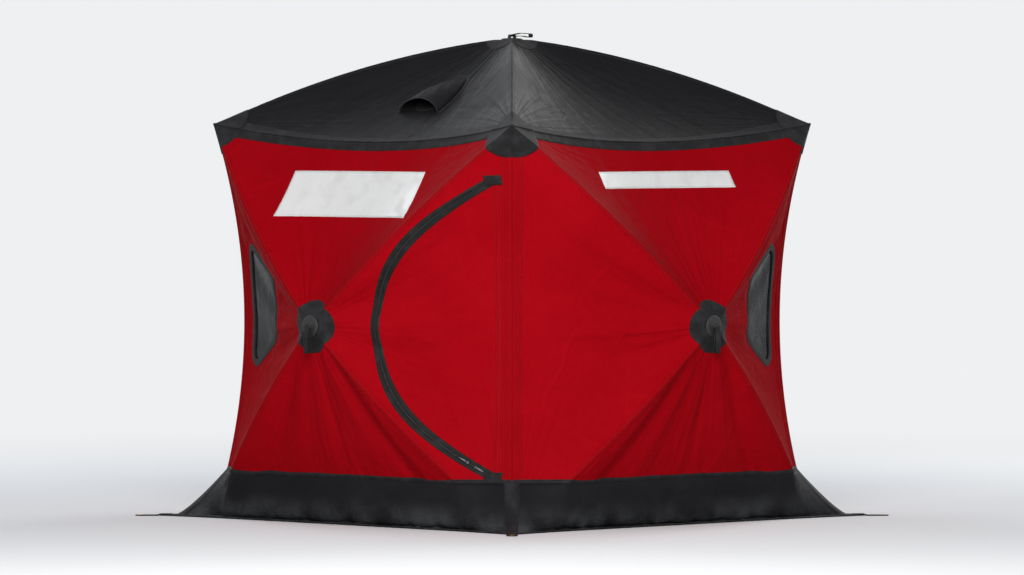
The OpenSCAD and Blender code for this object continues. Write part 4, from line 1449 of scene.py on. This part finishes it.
# Its tapes: one over its seam with each wall, a hem along its toe, and one down each corner
bm = bmesh.new()
along_wall = lines_between(-1, 1)
seam_rows = column(-0.006, -0.005, 0.004, 0.013, 0.014) - skirt_line
seam_high = column(0.001, 0.0048, 0.0052, 0.0040, -tuck)
hem_high = column(-tuck, 0.0012, 0.0014, 0.0012, -tuck)[..., None]
for wall in walls:
    panel = panels[wall]
    add_sheet(bm, panel.at(along_wall[None], seam_rows, seam_high))
    for inset in (-0.002, 0.010):
        sew("skirt_black", panel, along_wall, -skirt_line + inset, high=0.0052)
    points, outs = skirts[wall], skirt_outs[wall]
    hem = np.stack([points[0], points[0], points[1], points[1] * 0.4 + points[2] * 0.6,
                    points[1] * 0.3 + points[2] * 0.7])
    add_sheet(bm, hem + hem_high * outs[[0, 0, 1, 2, 2]])
    for share in (0.35, 1.35):
        row = int(share)
        path = points[row] * (1 - share + row) + points[row + 1] * (share - row)
        add_stitches("skirt_black", path + 0.0014 * outs[row], outs[row])
    beyond, beyond_outs = skirts[following[wall]], skirt_outs[following[wall]]
    columns = [
        (points[:, -3], outs[:, -3], -tuck),
        (points[:, -3] * 0.8 + points[:, -2] * 0.2, outs[:, -3], 0.0014),
        (points[:, -2], outs[:, -2], 0.0018),
        (points[:, -1], unit(outs[:, -1] + beyond_outs[:, 0]), 0.0030),
        (beyond[:, 1], beyond_outs[:, 1], 0.0018),
        (beyond[:, 2] * 0.8 + beyond[:, 1] * 0.2, beyond_outs[:, 2], 0.0014),
        (beyond[:, 2], beyond_outs[:, 2], -tuck),
    ]
    add_sheet(bm, np.stack([point + high * out for point, out, high in columns], 1))
add_piece("skirt_tapes", bm, binding_tape, "binding")


# Anchor tabs of webbing on the skirt's corners, round the grommets
tab_corner = (half + skirt_out + skirt_flare) * math.sqrt(2)
tab_hole = tab_corner + tab_l - tab_w / 2
turn = np.linspace(0, 2 * math.pi, 49)
square = 1 / np.maximum(np.abs(np.cos(turn)), np.abs(np.sin(turn)))
rim = tab_w / 2 * np.where(np.cos(turn) >= 0, 1, square)
ring = np.concatenate([column(1.0, 0.8, 0.6) * rim, np.full((1, 49), grommet_r + 0.0015)])
eye = np.stack([tab_hole + ring * np.cos(turn), ring * np.sin(turn), np.full_like(ring, tab_top)], -1)
strap_back, strap_lift, step_start, step_l = 0.062, 0.0048, 0.006, 0.020
run = np.linspace(tab_corner - strap_back, tab_hole - tab_w / 2, 30)
lift = tab_top + strap_lift * soft_step(np.clip((tab_corner + step_start - run) / step_l, 0, 1))
side = np.linspace(-1, 1, 9)[:, None] * tab_w / 2
strap = np.stack(np.broadcast_arrays(run, side, lift), -1)
box_far, box_near, box_side = -0.056, -0.014, 0.018
box = np.array([
    (box_far, -box_side), (box_near, -box_side), (box_near, box_side), (box_far, box_side),
    (box_far, -box_side), (box_near, box_side), (box_far, box_side), (box_near, -box_side),
])
bm = bmesh.new()
for number in range(4):
    turning = turned((number - 0.5) * math.pi / 2)
    add_sheet(bm, eye @ turning, joined=True)
    add_sheet(bm, strap @ turning)
    for ends in zip(box, box[1:]):
        x, y = evenly(np.array(ends), step=0.003).T
        path = np.stack([x + tab_corner, y, np.full_like(x, tab_top + 0.0050)], -1)
        add_stitches("skirt_black", path @ turning, np.tile([0.0, 0.0, 1.0], (len(path), 1)))
add_piece("anchor_tab_webbing", bm, strap_webbing, "webbing", "anchor_tabs", thick=tab_t)


# Pull loops of webbing round the bars of the hub caps
def loop_path():
    """Outer face of a loop: distance along it from the bar, and how far out it is."""
    top, end = bar_r + 0.0022, bar_r + 0.0062
    bend = np.linspace(0, math.pi, 13)
    leg = np.linspace(1, 0, 16)[1:-1]
    outer = np.stack([loop_l * leg, end * leg + top * (1 - leg)], -1)
    over = np.stack([-top * np.sin(bend), top * np.cos(bend)], -1)
    inner = outer[::-1] * [1, -1]
    under = np.stack([loop_l + end * np.sin(bend), -end * np.cos(bend)], -1)
    path = np.concatenate([outer, over, inner, under])
    path[:, 1] += 0.004 * np.sin(np.clip(path[:, 0] / loop_l, 0, 1) * math.pi) ** 2
    return np.concatenate([path, path[:1]]), len(outer)


path, face_rows = loop_path()
width = np.linspace(-loop_w / 2, loop_w / 2, 5)
hub_places = [(np.array([0, 0, 1.0]), np.array([1.0, 0, 0]), roof_top, 0)]
for wall in walls:
    out = np.array([0, -1.0, 0]) @ panels[wall].turning
    hub_places.append((out, np.array([0, 0, -1.0]), hub_z, half + hub_out))
bm = bmesh.new()
for out, down, height, reach in hub_places:
    bar = np.array([0, 0, height]) + out * (reach + trim_t + bar_z)
    wide = np.cross(out, down)
    centre = bar + path[:, :1] * down + path[:, 1:] * out
    add_sheet(bm, centre[:, None] + width[None, :, None] * wide, joined=True)
    for offset in (-0.0095, 0.0095):
        face = centre[:face_rows] + offset * wide + 0.0002 * out
        add_stitches("hub_black", face, np.tile(out, (face_rows, 1)))
add_piece("pull_loop_webbing", bm, strap_webbing, "webbing", "pull_loops", thick=loop_t)


# Roof vents: a hood of cloth over a disc of mesh, with tapes round both
hood_lift, hood_half_w, hood_mouth, hood_end = 0.062, 0.125, 0.68, 0.36
flange = [(-0.002, -tuck), (0.0, 0.0022), (0.009, 0.0018), (0.017, 0.0016), (0.018, -tuck)]
end_high = column(-tuck, 0.0024, 0.0022, 0.0018, -tuck)
flange_lines = (0.005, 0.013)
net_rings = [(1.06, -0.0034), (0.8, -0.0036), (0.5, -0.0040), (0, -0.0042)]
net_tape = [(-0.004, -tuck), (-0.0037, 0.0009), (-0.0028, 0.0015), (0.004, 0.001575),
            (0.0108, 0.0015), (0.0117, 0.0009), (0.012, -tuck)]
hoods, tapes, nets = bmesh.new(), bmesh.new(), bmesh.new()
across = np.sin(np.linspace(-math.pi / 2, math.pi / 2, 41))
back = np.linspace(0, 1, 31)[:, None]
wide = hood_half_w * (1 - 0.75 * back ** 2)
away = hood_mouth + (hood_end - hood_mouth) * back
end_a = np.linspace(-1, 1, 25) * (wide[-1, 0] + flange[-1][0] / half)
arch = np.sqrt(np.clip(1 - across ** 2, 0, 1))
for way in (1, -1):
    ripple = 0.0022 * np.sin(9 * across + 14 * back + way) * np.sin(math.pi * back) * arch
    lift = hood_lift * arch * (1 - back ** 2) + ripple
    hood = roof.at(way * across * wide, -way * away, 0.0014) + lift[..., None] * [0, 0, 1]
    add_sheet(hoods, hood)
    add_sheet(tapes, rod_points(hood[0], outwards(hood)[0], hood_cord_r))
    for side in (-1, 1):
        offsets, highs = np.array(flange[::side]).T
        add_sheet(tapes, roof.at(way * side * (wide + offsets / half), -way * away, highs))
        for offset in flange_lines:
            run = side * (wide + offset / half)[:, 0]
            sew("roof_black", roof, way * run, -way * away[:, 0], high=0.0020)
    end_b = away[-1, 0] - np.array(flange)[:, :1] / half
    add_sheet(tapes, roof.at(way * end_a[None], -way * end_b, end_high))
    for offset in flange_lines:
        sew("roof_black", roof, way * end_a, -way * (away[-1, 0] - offset / half), high=0.0026)
for outline in vents:
    add_sheet(nets, disc_points(roof, outline, net_rings), joined=True)
    add_sheet(tapes, band(roof, outline, net_tape, closed=True), joined=True)
    sew_beside("roof_black", roof, outline, offset=0.007, high=0.0016, closed=True)
piece = add_piece("vent_hood_cloth", hoods, black_trim, "roof_fabric", "vent_hoods", thick=trim_t)
add_piece("vent_tapes", tapes, binding_tape, "binding")
add_piece("vent_net_discs", nets, vent_net, "mesh", "vent_meshes")


# Stitches: a short raised thread, copied along every line that was marked
bm = bmesh.new()
add_block(bm, (stitch_l, stitch_w, stitch_h))
bmesh.ops.scale(bm, vec=(0.72, 0.45, 1), verts=[vert for vert in bm.verts if vert.co.z > 0])
bmesh.ops.delete(bm, geom=[face for face in bm.faces if face.normal.z < -0.9], context="FACES_ONLY")
stitch = finished("stitch", bm)
for group, found in stitch_lines.items():
    name = group + "_stitches"
    place, ahead, out = (np.concatenate(values) for values in zip(*found))
    add_piece(name, copies(name, stitch, place, ahead, out), threads[group.split("_")[1]], "binding")

# Pieces that stay as the frame made them
kept = {name + "_rods": rod_glass for name in panels}
kept.update({name + "_hub": black_nylon for name in panels})
kept.update(dict.fromkeys(["hub_caps", "upper_corner_joints", "corner_feet"], black_nylon))
kept["grommets"] = stamped_brass
for name, material in kept.items():
    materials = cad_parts[name].data.materials
    materials.clear()
    materials.append(material)
